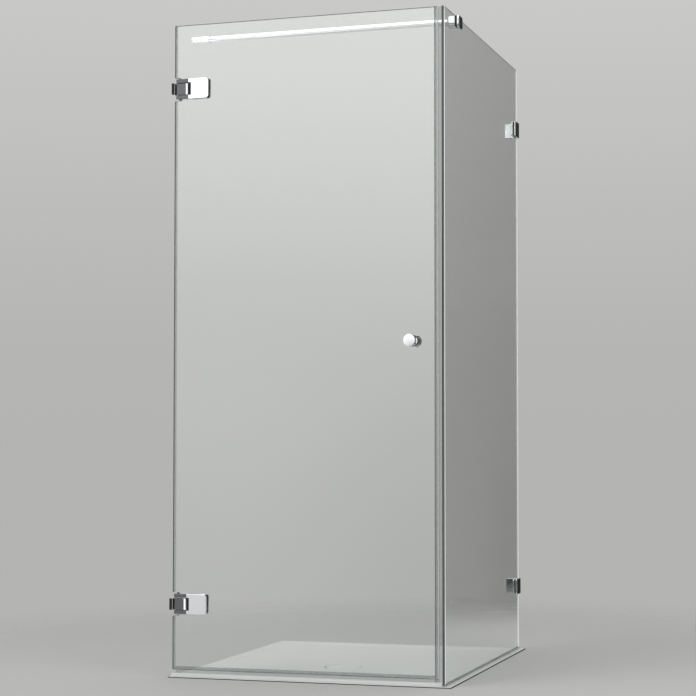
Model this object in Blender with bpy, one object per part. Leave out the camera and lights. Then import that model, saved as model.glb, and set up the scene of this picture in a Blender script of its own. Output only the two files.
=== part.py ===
"""Corner shower enclosure: a hinged glass door and a fixed glass side panel on a flat tray.

Metres, +Z up. X runs along the door from the left wall, Y runs into the depth towards the back
wall. The origin is the centre of the tray's underside. The left wall's face is the plane at
WALL_X and the back wall's face is the plane at WALL_Y.
"""

import math

import bmesh
import bpy
from mathutils import Euler, Matrix, Vector

# Clearances that many pieces share
SEAT_GAP = 0.0003  # between pieces that touch
CUT_OVERRUN = 0.002  # how far a cutter runs past what it cuts
WELD = 0.000001  # points closer than this are one point
ARC_STEPS = 5  # faces in a quarter round
ROUND_STEPS = 28  # faces round a turned piece
WASTE_STEPS = 36  # faces round the waste and its cover
BORE_STEPS = 20  # faces round a small screw or hole

# Tray
TRAY_WIDTH = 0.900
TRAY_DEPTH = 0.900
TRAY_HEIGHT = 0.030
TRAY_CORNER = 0.006
TRAY_EDGE = 0.002
TRAY_RIM = 0.046
BASIN_CORNER = 0.030
BASIN_STEP = 0.0015
BASIN_STEP_RUN = 0.006
BASIN_FALL = 0.007
WASTE_X = -0.020
WASTE_Y = -0.075
WASTE_RECESS_RADIUS = 0.060
WASTE_RECESS_DEPTH = 0.0085
OUTLET_RADIUS = 0.045

# Waste flange and drain cover
FLANGE_THICKNESS = 0.0022
FLANGE_SKIRT = 0.0020
FLANGE_SKIRT_SHORT = 0.0015  # the skirt ends this far above the tray's underside
FLANGE_MARGIN = 0.0013  # flange's rim inside the recess's wall
COVER_RADIUS = 0.0565
COVER_THICKNESS = 0.0035
COVER_CROWN = 0.0008
COVER_EDGE = 0.0010
COVER_FOOT_RADIUS = 0.0035
COVER_FEET = 3
COVER_STEM_RADIUS = 0.034
COVER_STEM_WALL = 0.002
COVER_STEM_DEPTH = 0.009

# Glass
GLASS = 0.008
GLASS_ARRIS = 0.0007
GLASS_HEAD = 2.012  # top of both panes above the tray
DOOR_FOOT_GAP = 0.020
PANEL_FOOT_GAP = 0.004
DOOR_MARGIN = 0.017  # tray's front edge to the door's outer face
PANEL_MARGIN = 0.020  # tray's right edge to the panel's outer face
PANEL_LEAD = 0.004  # panel's front edge ahead of the door's outer face
DOOR_WALL_GAP = 0.007
CLOSING_GAP = 0.014  # door's free edge to the panel's inner face
PANEL_WALL_GAP = 0.004
GLASS_HOLE_RADIUS = 0.006

# Seals
SEAL_WALL = 0.0014
SEAL_LEG = 0.010
SEAL_FIN = 0.0018
SEAL_BEAD_RADIUS = 0.0028
SEAL_FOOT_CLEARANCE = 0.0022  # closing seal above the threshold strip
HINGE_SEAL_LEG = 0.0045
HINGE_SEAL_REACH = 0.0048
HINGE_SEAL_BEAD_RADIUS = 0.0012
HINGE_SEAL_END_GAP = 0.001
DRIP_LEG = 0.010
DRIP_END_GAP = 0.001
DRIP_LIP_SETBACK = 0.0030
DRIP_LIP_THICKNESS = 0.0013
DRIP_LIP_CLEARANCE = 0.0012  # lip above the threshold strip
FOOT_SEAL_LEG = 0.0045
FOOT_SEAL_WALL = 0.0010

# Threshold strip
THRESHOLD_WIDTH = 0.018
THRESHOLD_FLANGE = 0.0022
THRESHOLD_HEIGHT = 0.0085
THRESHOLD_RIDGE = 0.0085
THRESHOLD_END_GAP = 0.0005

# Wall hinges, measured from the wall's face unless said otherwise
HINGE_INSET = 0.200  # hinge centre from the glass's end
PIVOT_OFFSET = 0.020
PIN_RADIUS = 0.004
PIN_PROUD = 0.0035  # past the flaps at both ends
BUSH_WALL = 0.0012
BUSH_PROUD = 0.0004
KNUCKLE_HEIGHT = 0.035
KNUCKLE_REACH = 0.048
KNUCKLE_SETBACK = 0.0008
KNUCKLE_CHAMFER = 0.0045
EAR_GAP = 0.0010
WALL_PLATE = 0.008
WALL_PLATE_LEAD = 0.0145  # ahead of the glass's outer face
WALL_PLATE_LENGTH = 0.062
WALL_PLATE_HEIGHT = 0.036
WALL_PLATE_EDGE = 0.0012
FLAP_START = 0.0095
FLAP_END = 0.120
FLAP_HEIGHT = 0.063
FLAP_THICKNESS = 0.0055
FLAP_CORNER = 0.009
FLAP_EDGE = 0.0015
NOTCH_REACH = 0.060
BARREL_START = 0.053  # where the slope of the flap's barrel side begins
BARREL_FALL = 0.003  # how far it has sloped back at the flap's end
CUTOUT_REACH = 0.063
CUTOUT_INSET = 0.0020  # the glass's cut-out ends this far inside the flap's outline
CUTOUT_CORNER = 0.006
PIN_SLOT_HALF = 0.0065
PIN_SLOT_RISE = 0.0045  # the cut-out's slot for the pin ends, past the flap
HOUSING_GAP = 0.0006  # pin housing to the glass's cut-out
CLAMP_SCREW_REACH = 0.091
CLAMP_SCREW_SPREAD = 0.017
GASKET = 0.0007
GASKET_INSET = 0.0006

# Screws
CLAMP_SCREW_RADIUS = 0.0030
CLAMP_HEAD_RADIUS = 0.0055
CLAMP_HEAD_HEIGHT = 0.0026
BLIND_COVER = 0.0018  # metal left over the end of a blind hole
WALL_SCREW_RADIUS = 0.0025
WALL_HEAD_RADIUS = 0.0048
WALL_HEAD_HEIGHT = 0.0024
WALL_SCREW_SHORT = 0.0004
WALL_SCREW_SETBACK = 0.027  # from the pivot's plane, on the inside
WALL_SCREW_SPREAD = 0.0095
SOCKET_RADIUS = 0.0017
SOCKET_DEPTH = 0.0015
HEX_FACES = 6

# Wall clamps of the side panel
CLAMP_INSET = 0.212
CLAMP_HEIGHT = 0.050
CLAMP_FLANGE_WIDTH = 0.041
CLAMP_FLANGE = 0.009
CLAMP_CORNER = 0.005
CLAMP_EDGE = 0.0012
CHEEK_LENGTH = 0.052
CHEEK_INNER = 0.006
CHEEK_OUTER = 0.0055
CHEEK_WALL_GAP = 0.003
CHEEK_CORNER = 0.004
CLAMP_SCREW_SETBACK = 0.031

# Stabiliser
BAR_SETBACK = 0.140  # bar's axis behind the door's outer face
BAR_DROP = 0.013  # bar's axis below the glass's top
BAR_RADIUS = 0.0095
HOLDER_RADIUS = 0.0112
HOLDER_LENGTH = 0.032
HOLDER_FOOT_RADIUS = 0.0125
HOLDER_FOOT = 0.004
HOLDER_GROOVE = 0.0012
HOLDER_GROOVE_WIDTH = 0.0022
HOLDER_SOCKET = 0.022
SLEEVE_LENGTH = 0.026
SLEEVE_WALL = 0.0015
TURNED_EDGE = 0.0010
BLOCK_WIDTH = 0.026
BLOCK_LENGTH = 0.038
BLOCK_HEIGHT = 0.034
BLOCK_RISE = 0.003  # above the glass's top
BLOCK_EDGE = 0.0014
BLOCK_SOCKET = 0.018
BAR_CHEEK = 0.008
BAR_CHEEK_LENGTH = 0.040
BAR_CHEEK_HEIGHT = 0.038
BAR_GASKET = 0.0015
BAR_GASKET_INSET = 0.0010
GRUB_RADIUS = 0.0025
GRUB_PROUD = 0.0002

# Knob
KNOB_FROM_EDGE = 0.080  # knob's axis from the door's free edge
KNOB_RADIUS = 0.019
KNOB_BODY = 0.0185
KNOB_RIM = 0.0030
KNOB_CROWN = 0.0007
KNOB_NECK_RADIUS = 0.0145
KNOB_NECK = 0.0045
KNOB_FOOT_RADIUS = 0.0175
KNOB_FOOT = 0.0055
KNOB_BORE = 0.014
STUD_RADIUS = 0.003
STUD_REACH = 0.012
WASHER_RADIUS = 0.016
WASHER = 0.0008

# Places that follow from the sizes
WALL_X = -TRAY_WIDTH / 2
WALL_Y = TRAY_DEPTH / 2
FRONT_Y = -TRAY_DEPTH / 2
RIGHT_X = TRAY_WIDTH / 2
TRAY_TOP = TRAY_HEIGHT
GLASS_TOP = TRAY_TOP + GLASS_HEAD
DOOR_Y = FRONT_Y + DOOR_MARGIN + GLASS / 2
PANEL_X = RIGHT_X - PANEL_MARGIN - GLASS / 2
PANEL_FRONT = FRONT_Y + DOOR_MARGIN - PANEL_LEAD
PANEL_BACK = WALL_Y - PANEL_WALL_GAP
PANEL_FOOT = TRAY_TOP + PANEL_FOOT_GAP
DOOR_LEFT = WALL_X + DOOR_WALL_GAP
DOOR_RIGHT = PANEL_X - GLASS / 2 - CLOSING_GAP
DOOR_FOOT = TRAY_TOP + DOOR_FOOT_GAP
PIVOT_X = WALL_X + PIVOT_OFFSET
KNOB_Z = (DOOR_FOOT + GLASS_TOP) / 2
HINGE_HEIGHTS = {"lower": DOOR_FOOT + HINGE_INSET, "upper": GLASS_TOP - HINGE_INSET}
CLAMP_HEIGHTS = {"lower": PANEL_FOOT + CLAMP_INSET, "upper": GLASS_TOP - CLAMP_INSET}
BAR_Y = FRONT_Y + DOOR_MARGIN + BAR_SETBACK
BAR_Z = GLASS_TOP - BAR_DROP
THRESHOLD_TOP = TRAY_TOP + SEAT_GAP + THRESHOLD_HEIGHT

# Depths from a pane's middle plane to the faces clamped on it
GASKET_FACE = GLASS / 2 + SEAT_GAP
CLAMP_FACE = GASKET_FACE + GASKET + SEAT_GAP
FLAP_FACE = CLAMP_FACE + FLAP_THICKNESS
BLIND_FLAP = FLAP_FACE - BLIND_COVER
BAR_CLAMP_FACE = GASKET_FACE + BAR_GASKET + SEAT_GAP


# Outlines


def arc(centre, radius, start, end, steps=ARC_STEPS):
    """Points on a circle round centre, from the start angle to the end angle in degrees."""
    angles = [math.radians(start + (end - start) * i / steps) for i in range(steps + 1)]
    return [(centre[0] + radius * math.cos(a), centre[1] + radius * math.sin(a)) for a in angles]


def disc(centre, radius, steps=BORE_STEPS):
    """A circle's outline, without its closing point twice."""
    return arc(centre, radius, 0, 360, steps)[:-1]


def rectangle(low, high):
    return [low, (high[0], low[1]), high, (low[0], high[1])]


def rounded(low, high, radii):
    """A rectangle whose corners have the radii given for low-low, high-low, high-high, low-high."""
    corners = zip(rectangle(low, high), ((1, 1), (-1, 1), (-1, -1), (1, -1)), (180, 270, 0, 90), radii)
    points = []
    for (u, v), (inward_u, inward_v), start, radius in corners:
        centre = (u + inward_u * radius, v + inward_v * radius)
        points += arc(centre, radius, start, start + 90) if radius else [(u, v)]
    return points


def clip_outline(leg, wall, web, fin_reach=0, bead_radius=0):
    """A clip-on seal's section: a U whose web lies past the glass's edge at u = 0, with a beaded fin.

    u runs away from the glass and v across it. Without a fin the section is the U alone.
    """
    inner, outer = GASKET_FACE, GASKET_FACE + wall
    web_low, web_high = SEAT_GAP, SEAT_GAP + web
    fin = []
    if fin_reach:
        centre = (fin_reach - bead_radius, 0)
        meet = math.degrees(math.asin(SEAL_FIN / 2 / bead_radius)) if bead_radius > SEAL_FIN / 2 else 90
        fin = [(web_high, -SEAL_FIN / 2)]
        fin += arc(centre, bead_radius, meet - 180, 180 - meet, 3 * ARC_STEPS)
        fin += [(web_high, SEAL_FIN / 2)]
    outside = [(web_high, outer), (-leg, outer)]
    slot = [(-leg, inner), (web_low, inner), (web_low, -inner), (-leg, -inner)]
    return [(-leg, -outer), (web_high, -outer)] + fin + outside + slot


# Meshes


def prism(outline, low, high, axis):
    """The outline carried from low to high along an axis: (x, y) for Z, (y, z) for X, (x, z) for Y."""
    point = {
        "X": lambda u, v, w: (w, u, v),
        "Y": lambda u, v, w: (u, w, v),
        "Z": lambda u, v, w: (u, v, w),
    }[axis]
    mesh = bmesh.new()
    face = mesh.faces.new([mesh.verts.new(point(u, v, low)) for u, v in outline])
    grown = bmesh.ops.extrude_face_region(mesh, geom=[face])["geom"]
    moved = [item for item in grown if isinstance(item, bmesh.types.BMVert)]
    bmesh.ops.translate(mesh, verts=moved, vec=point(0, 0, high - low))
    bmesh.ops.recalc_face_normals(mesh, faces=mesh.faces)
    return mesh


def turned(profile, steps=ROUND_STEPS):
    """A closed (radius, height) profile turned round Z."""
    mesh = bmesh.new()
    ring = [mesh.verts.new((radius, 0, height)) for radius, height in profile]
    edges = [mesh.edges.new((a, b)) for a, b in zip(ring, ring[1:] + ring[:1]) if a.co.x or b.co.x]
    bmesh.ops.spin(
        mesh, geom=ring + edges, cent=(0, 0, 0), axis=(0, 0, 1), angle=math.tau, steps=steps, use_merge=True
    )
    bmesh.ops.remove_doubles(mesh, verts=mesh.verts, dist=WELD)
    bmesh.ops.recalc_face_normals(mesh, faces=mesh.faces)
    return mesh


# Turns that carry a turned piece's Z onto another axis
TURNS = {
    "Z": (0, 0, 0),
    "-Z": (math.pi, 0, 0),
    "X": (0, math.pi / 2, 0),
    "-X": (0, -math.pi / 2, 0),
    "Y": (-math.pi / 2, 0, 0),
    "-Y": (math.pi / 2, 0, 0),
}


def place(obj, at, towards="Z", parent=None):
    """Puts the object's origin at a point of the part, its own Z towards an axis, under its parent."""
    obj.rotation_euler = TURNS[towards]
    obj.location = Vector(at)
    if parent:
        obj.parent = parent
        obj.location -= parent.location


def piece(name, mesh, material, at=(0, 0, 0), towards="Z", parent=None, edge=0, edge_steps=2):
    """One named solid. Its sharp edges are rounded over the width given."""
    data = bpy.data.meshes.new(name)
    mesh.to_mesh(data)
    mesh.free()
    data.shade_smooth()
    data.set_sharp_from_angle(angle=math.radians(30))
    data.materials.append(material)
    obj = bpy.data.objects.new(name, data)
    bpy.context.scene.collection.objects.link(obj)
    place(obj, at, towards, parent)
    if edge:
        bevel = obj.modifiers.new("rounded edges", "BEVEL")
        bevel.width = edge
        bevel.segments = edge_steps
        bevel.limit_method = "ANGLE"
        bevel.angle_limit = math.radians(40)
    return obj


def combine(obj, operation, meshes):
    """Cuts the meshes from the object, or joins them to it. They are given in its own coordinates."""
    for number, mesh in enumerate(meshes):
        data = bpy.data.meshes.new(f"{obj.name}_{operation.lower()}_{number}")
        mesh.to_mesh(data)
        mesh.free()
        helper = bpy.data.objects.new(data.name, data)
        bpy.context.scene.collection.objects.link(helper)
        helper.parent = obj.parent
        helper.location = obj.location
        helper.rotation_euler = obj.rotation_euler
        helper.hide_render = True
        helper.display_type = "WIRE"
        boolean = obj.modifiers.new(operation.lower(), "BOOLEAN")
        boolean.operation = operation
        boolean.solver = "EXACT"
        boolean.object = helper


def cut(obj, *meshes):
    combine(obj, "DIFFERENCE", meshes)


def join(obj, *meshes):
    combine(obj, "UNION", meshes)


def bore(centre, radius, low, high, axis, steps=BORE_STEPS):
    """A round cutter that runs past both ends."""
    return prism(disc(centre, radius, steps), low - CUT_OVERRUN, high + CUT_OVERRUN, axis)


# Materials


def material(name, colour, roughness, metallic=0, transmission=0, ior=1.5):
    made = bpy.data.materials.new(name)
    made.use_nodes = True
    shader = made.node_tree.nodes["Principled BSDF"]
    shader.inputs["Base Color"].default_value = (*colour, 1)
    shader.inputs["Roughness"].default_value = roughness
    shader.inputs["Metallic"].default_value = metallic
    shader.inputs["Transmission Weight"].default_value = transmission
    shader.inputs["IOR"].default_value = ior
    made.diffuse_color = (*colour, 1)
    return made


def make_materials():
    return {
        "acrylic": material("white tray acrylic", (0.80, 0.80, 0.79), 0.28),
        "cover": material("white drain cover", (0.78, 0.78, 0.77), 0.30),
        "glass": material("clear toughened glass", (0.86, 0.93, 0.91), 0.02, 0, 1, 1.52),
        "chrome": material("polished chrome", (0.78, 0.79, 0.80), 0.07, 1),
        "seal": material("clear seal", (0.75, 0.77, 0.76), 0.25, 0, 0.7, 1.4),
        "gasket": material("dark gasket", (0.03, 0.03, 0.032), 0.60),
        "steel": material("stainless steel", (0.55, 0.55, 0.56), 0.25, 1),
        "nylon": material("white nylon", (0.70, 0.70, 0.68), 0.45),
    }


# Tray, waste and drain cover


def basin_cutter():
    """The basin's hollow: a short step inside the rim, then a fall from every side to the waste."""
    half_x, half_y = TRAY_WIDTH / 2 - TRAY_RIM, TRAY_DEPTH / 2 - TRAY_RIM
    rim = rounded((-half_x, -half_y), (half_x, half_y), (BASIN_CORNER,) * 4)
    half_x, half_y = half_x - BASIN_STEP_RUN, half_y - BASIN_STEP_RUN
    floor = rounded((-half_x, -half_y), (half_x, half_y), (BASIN_CORNER - BASIN_STEP_RUN,) * 4)
    drop = []
    for u, v in floor:
        away = Vector((u - WASTE_X, v - WASTE_Y)).normalized() * WASTE_RECESS_RADIUS
        drop.append((WASTE_X + away.x, WASTE_Y + away.y))
    levels = (
        (rim, TRAY_TOP + CUT_OVERRUN),
        (rim, TRAY_TOP),
        (floor, TRAY_TOP - BASIN_STEP),
        (drop, TRAY_TOP - BASIN_FALL),
    )
    mesh = bmesh.new()
    rings = [[mesh.verts.new((u, v, height)) for u, v in outline] for outline, height in levels]
    for upper, lower in zip(rings, rings[1:]):
        for i in range(len(upper)):
            j = (i + 1) % len(upper)
            mesh.faces.new((upper[i], upper[j], lower[j], lower[i]))
    mesh.faces.new(rings[0])
    mesh.faces.new(rings[-1])
    bmesh.ops.recalc_face_normals(mesh, faces=mesh.faces)
    return mesh


def make_tray(materials):
    half_x, half_y = TRAY_WIDTH / 2, TRAY_DEPTH / 2
    outline = rounded((-half_x, -half_y), (half_x, half_y), (TRAY_CORNER,) * 4)
    tray = piece("shower_tray", prism(outline, 0, TRAY_HEIGHT, "Z"), materials["acrylic"], edge=TRAY_EDGE)
    waste = (WASTE_X, WASTE_Y)
    recess_floor = TRAY_TOP - BASIN_FALL - WASTE_RECESS_DEPTH
    recess = prism(disc(waste, WASTE_RECESS_RADIUS, WASTE_STEPS), recess_floor, TRAY_TOP, "Z")
    outlet = bore(waste, OUTLET_RADIUS, 0, TRAY_TOP, "Z", WASTE_STEPS)
    cut(tray, basin_cutter(), recess, outlet)

    flange_low = recess_floor + SEAT_GAP
    flange_high = flange_low + FLANGE_THICKNESS
    skirt = OUTLET_RADIUS - SEAT_GAP
    throat = skirt - FLANGE_SKIRT
    rim = WASTE_RECESS_RADIUS - FLANGE_MARGIN
    profile = [
        (throat, FLANGE_SKIRT_SHORT),
        (skirt, FLANGE_SKIRT_SHORT),
        (skirt, flange_low),
        (rim, flange_low),
        (rim, flange_high),
        (throat, flange_high),
    ]
    piece("waste_flange", turned(profile, WASTE_STEPS), materials["steel"], at=(*waste, 0))
    make_drain_cover(materials, flange_high)


def make_drain_cover(materials, seat):
    """A crowned disc that stands on feet, with a short stem in the flange's throat."""
    top = TRAY_TOP - BASIN_FALL
    low = top - COVER_THICKNESS
    stem_inner = COVER_STEM_RADIUS - COVER_STEM_WALL
    profile = [
        (0, low),
        (stem_inner, low),
        (stem_inner, top - COVER_STEM_DEPTH),
        (COVER_STEM_RADIUS, top - COVER_STEM_DEPTH),
        (COVER_STEM_RADIUS, low),
        (COVER_RADIUS - COVER_EDGE, low),
        (COVER_RADIUS, low + COVER_EDGE),
        (COVER_RADIUS, top - COVER_EDGE),
        (COVER_RADIUS - COVER_EDGE, top),
        (COVER_RADIUS / 2, top + 3 * COVER_CROWN / 4),
        (0, top + COVER_CROWN),
    ]
    cover = piece("drain_cover", turned(profile, WASTE_STEPS), materials["cover"], at=(WASTE_X, WASTE_Y, 0))
    ring = (OUTLET_RADIUS + COVER_RADIUS) / 2
    feet = []
    for number in range(COVER_FEET):
        angle = math.tau * number / COVER_FEET
        centre = (ring * math.cos(angle), ring * math.sin(angle))
        feet.append(prism(disc(centre, COVER_FOOT_RADIUS), seat + SEAT_GAP, low + COVER_THICKNESS / 2, "Z"))
    join(cover, *feet)


def make_threshold(materials):
    """A low strip under the door line, bonded to the rim: two thin flanges and a rounded ridge."""
    half = THRESHOLD_WIDTH / 2
    ridge = THRESHOLD_RIDGE / 2
    shoulder = THRESHOLD_HEIGHT - ridge
    outline = [(-half, 0), (half, 0), (half, THRESHOLD_FLANGE), (ridge, THRESHOLD_FLANGE)]
    outline += arc((0, shoulder), ridge, 0, 180, 2 * ARC_STEPS)
    outline += [(-ridge, THRESHOLD_FLANGE), (-half, THRESHOLD_FLANGE)]
    low = WALL_X + THRESHOLD_END_GAP
    high = PANEL_X - FOOT_SEAL_WALL - GASKET_FACE - THRESHOLD_END_GAP
    at = (0, DOOR_Y, TRAY_TOP + SEAT_GAP)
    piece("threshold_strip", prism(outline, low, high, "X"), materials["seal"], at=at)


# Side panel


def make_side_panel(materials):
    outline = rectangle((PANEL_FRONT, PANEL_FOOT), (PANEL_BACK, GLASS_TOP))
    mesh = prism(outline, -GLASS / 2, GLASS / 2, "X")
    at = (PANEL_X, 0, 0)
    panel = piece("side_panel_glass", mesh, materials["glass"], at=at, edge=GLASS_ARRIS, edge_steps=1)
    holes = [(WALL_Y - CLAMP_SCREW_SETBACK, height) for height in CLAMP_HEIGHTS.values()] + [(BAR_Y, BAR_Z)]
    cut(panel, *(bore(hole, GLASS_HOLE_RADIUS, -GLASS / 2, GLASS / 2, "X") for hole in holes))

    # The clip outline's u points down from the glass's foot
    section = clip_outline(FOOT_SEAL_LEG, FOOT_SEAL_WALL, PANEL_FOOT_GAP - 2 * SEAT_GAP)
    outline = [(v, -u) for u, v in section]
    mesh = prism(outline, PANEL_FRONT, WALL_Y - SEAT_GAP, "Y")
    piece("side_bottom_seal", mesh, materials["seal"], at=(PANEL_X, 0, PANEL_FOOT))

    outline = rectangle((-GLASS / 2, PANEL_BACK + SEAT_GAP), (GLASS / 2, WALL_Y - SEAT_GAP))
    mesh = prism(outline, PANEL_FOOT, GLASS_TOP, "Z")
    piece("side_wall_seal", mesh, materials["seal"], at=(PANEL_X, 0, 0), edge=GLASS_ARRIS, edge_steps=1)


def screw(head_radius, head_height, radius, length):
    """A countersunk screw along -Z whose flat head is at Z = 0, with a hexagon socket cut later."""
    return turned(
        [(0, 0), (head_radius, 0), (radius, -head_height), (radius, -length), (0, -length)], BORE_STEPS
    )


def countersink(at, towards, head_radius, head_height, radius, length, overrun=0):
    """The hole for such a screw, in the part's axes: a turned cutter carried to its place."""
    gap = SEAT_GAP
    mesh = turned(
        [
            (0, CUT_OVERRUN),
            (head_radius + gap, CUT_OVERRUN),
            (head_radius + gap, 0),
            (radius + gap, -head_height),
            (radius + gap, -length - overrun),
            (0, -length - overrun),
        ],
        BORE_STEPS,
    )
    turn = Euler(TURNS[towards]).to_matrix().to_4x4()
    bmesh.ops.transform(mesh, matrix=Matrix.Translation(at) @ turn, verts=mesh.verts)
    return mesh


def add_screw(name, steel, head_radius, head_height, radius, length, at, towards, parent=None):
    mesh = screw(head_radius, head_height, radius, length)
    made = piece(name, mesh, steel, at=at, towards=towards, parent=parent)
    cut(made, prism(disc((0, 0), SOCKET_RADIUS, HEX_FACES), -SOCKET_DEPTH, CUT_OVERRUN, "Z"))


def make_wall_clamp(materials, level, height):
    """A clamp between the back wall and the panel: flange and inner cheek in one, and an outer cheek."""
    origin = (PANEL_X, WALL_Y, height)
    half = CLAMP_HEIGHT / 2
    cheek_low, cheek_high = -CLAMP_FACE - CHEEK_INNER, -CLAMP_FACE
    flange_low = cheek_high - CLAMP_FLANGE_WIDTH
    corner = CLAMP_CORNER
    flange = rounded((flange_low, -half), (cheek_high, half), (corner, 0, 0, corner))
    name = f"wall_clamp_bracket_{level}"
    mesh = prism(flange, -CLAMP_FLANGE, 0, "Y")
    bracket = piece(name, mesh, materials["chrome"], at=origin, edge=CLAMP_EDGE)
    corner = CHEEK_CORNER
    cheek = rounded((-CHEEK_LENGTH, -half), (-CLAMP_FLANGE / 2, half), (corner, 0, 0, corner))
    join(bracket, prism(cheek, cheek_low, cheek_high, "X"))
    glass_y = -CLAMP_SCREW_SETBACK
    screw_x = (flange_low + cheek_low) / 2
    glass_length = CHEEK_INNER + 2 * CLAMP_FACE + CHEEK_OUTER - BLIND_COVER - SEAT_GAP
    wall_length = CLAMP_FLANGE - WALL_SCREW_SHORT
    clamp_sizes = (CLAMP_HEAD_RADIUS, CLAMP_HEAD_HEIGHT, CLAMP_SCREW_RADIUS)
    wall_sizes = (WALL_HEAD_RADIUS, WALL_HEAD_HEIGHT, WALL_SCREW_RADIUS)
    glass_head, wall_head = (cheek_low, glass_y, 0), (screw_x, -CLAMP_FLANGE, 0)
    cut(
        bracket,
        countersink(glass_head, "-X", *clamp_sizes, glass_length),
        countersink(wall_head, "-Y", *wall_sizes, wall_length, CUT_OVERRUN),
    )

    half += CLAMP_EDGE
    low, high = (-CHEEK_LENGTH - CLAMP_EDGE, -half), (-CHEEK_WALL_GAP, half)
    outer_low, outer_high = CLAMP_FACE, CLAMP_FACE + CHEEK_OUTER
    mesh = prism(rounded(low, high, (corner,) * 4), outer_low, outer_high, "X")
    cheek = piece(f"wall_clamp_cheek_{level}", mesh, materials["chrome"], at=origin, edge=CLAMP_EDGE)
    hole = disc((glass_y, 0), CLAMP_SCREW_RADIUS + SEAT_GAP)
    cut(cheek, prism(hole, outer_low - CUT_OVERRUN, outer_high - BLIND_COVER, "X"))

    half -= CLAMP_EDGE + GASKET_INSET
    low, high = (-CHEEK_LENGTH + GASKET_INSET, -half), (-PANEL_WALL_GAP - GASKET_INSET, half)
    for side, start in (("inner", -GASKET_FACE - GASKET), ("outer", GASKET_FACE)):
        mesh = prism(rounded(low, high, (corner,) * 4), start, start + GASKET, "X")
        gasket = piece(f"wall_clamp_{side}_gasket_{level}", mesh, materials["gasket"], at=origin)
        cut(gasket, bore((glass_y, 0), CLAMP_SCREW_RADIUS + SEAT_GAP, start, start + GASKET, "X"))

    at = Vector(origin) + Vector(glass_head)
    add_screw(f"wall_clamp_glass_screw_{level}", materials["steel"], *clamp_sizes, glass_length, at, "-X")
    at = Vector(origin) + Vector(wall_head)
    add_screw(f"wall_clamp_wall_screw_{level}", materials["steel"], *wall_sizes, wall_length, at, "-Y")


# Door


def make_door_glass(materials, door):
    at = (PIVOT_X, DOOR_Y, 0)
    low, high = (DOOR_LEFT - PIVOT_X, DOOR_FOOT), (DOOR_RIGHT - PIVOT_X, GLASS_TOP)
    mesh = prism(rectangle(low, high), -GLASS / 2, GLASS / 2, "Y")
    glass = piece(
        "door_glass", mesh, materials["glass"], at=at, parent=door, edge=GLASS_ARRIS, edge_steps=1
    )
    start = low[0] - CUT_OVERRUN
    half = FLAP_HEIGHT / 2 - CUTOUT_INSET
    slot = FLAP_HEIGHT / 2 + PIN_SLOT_RISE
    corner = CUTOUT_CORNER
    faces = (-GLASS / 2 - CUT_OVERRUN, GLASS / 2 + CUT_OVERRUN, "Y")
    for height in HINGE_HEIGHTS.values():
        end = CUTOUT_REACH - PIVOT_OFFSET
        notch = rounded((start, height - half), (end, height + half), (0, corner, corner, 0))
        pins = rounded((start, height - slot), (PIN_SLOT_HALF, height + slot), (0, corner, corner, 0))
        cut(glass, prism(notch, *faces), prism(pins, *faces))
        for side in (-1, 1):
            centre = (CLAMP_SCREW_REACH - PIVOT_OFFSET, height + side * CLAMP_SCREW_SPREAD)
            cut(glass, prism(disc(centre, GLASS_HOLE_RADIUS), *faces))
    knob = (DOOR_RIGHT - KNOB_FROM_EDGE - PIVOT_X, KNOB_Z)
    cut(glass, prism(disc(knob, GLASS_HOLE_RADIUS), *faces))


def make_door_seals(materials, door):
    """The closing seal on the free edge, the drip seal under the door, and the hinge side's strip."""
    seal = materials["seal"]
    section = clip_outline(SEAL_LEG, SEAL_WALL, SEAL_WALL, CLOSING_GAP - SEAT_GAP, SEAL_BEAD_RADIUS)
    foot = THRESHOLD_TOP + SEAL_FOOT_CLEARANCE
    mesh = prism(section, foot, GLASS_TOP - SEAT_GAP, "Z")
    piece("closing_seal", mesh, seal, at=(DOOR_RIGHT, DOOR_Y, 0), parent=door)

    section = clip_outline(
        HINGE_SEAL_LEG, SEAL_WALL, SEAL_WALL, HINGE_SEAL_REACH, HINGE_SEAL_BEAD_RADIUS
    )
    section = [(-u, v) for u, v in section]
    gap = FLAP_HEIGHT / 2 + PIN_SLOT_RISE + HINGE_SEAL_END_GAP
    lower, upper = HINGE_HEIGHTS["lower"], HINGE_HEIGHTS["upper"]
    lengths = {
        "lower": (DOOR_FOOT, lower - gap),
        "middle": (lower + gap, upper - gap),
        "upper": (upper + gap, GLASS_TOP - SEAT_GAP),
    }
    for level, (low, high) in lengths.items():
        mesh = prism(section, low, high, "Z")
        piece(f"hinge_side_seal_{level}", mesh, seal, at=(DOOR_LEFT, DOOR_Y, 0), parent=door)

    # The section hangs from the glass's foot at (0, 0), with the lip leaning to the inside
    inner, outer = GASKET_FACE, GASKET_FACE + SEAL_WALL
    web_high, web_low = -SEAT_GAP, -SEAT_GAP - SEAL_WALL
    lip_foot = THRESHOLD_TOP + DRIP_LIP_CLEARANCE - DOOR_FOOT
    lip_in = outer - DRIP_LIP_SETBACK
    outline = [
        (-outer, DRIP_LEG),
        (-outer, web_low),
        (lip_in - DRIP_LIP_THICKNESS, web_low),
        (outer - DRIP_LIP_THICKNESS, lip_foot),
        (outer, lip_foot),
        (lip_in, web_low),
        (outer, web_low),
        (outer, DRIP_LEG),
        (inner, DRIP_LEG),
        (inner, web_high),
        (-inner, web_high),
        (-inner, DRIP_LEG),
    ]
    low = DOOR_LEFT + HINGE_SEAL_LEG + DRIP_END_GAP - PIVOT_X
    high = DOOR_RIGHT - SEAL_LEG - DRIP_END_GAP - PIVOT_X
    piece("drip_seal", prism(outline, low, high, "X"), seal, at=(PIVOT_X, DOOR_Y, DOOR_FOOT), parent=door)


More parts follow.
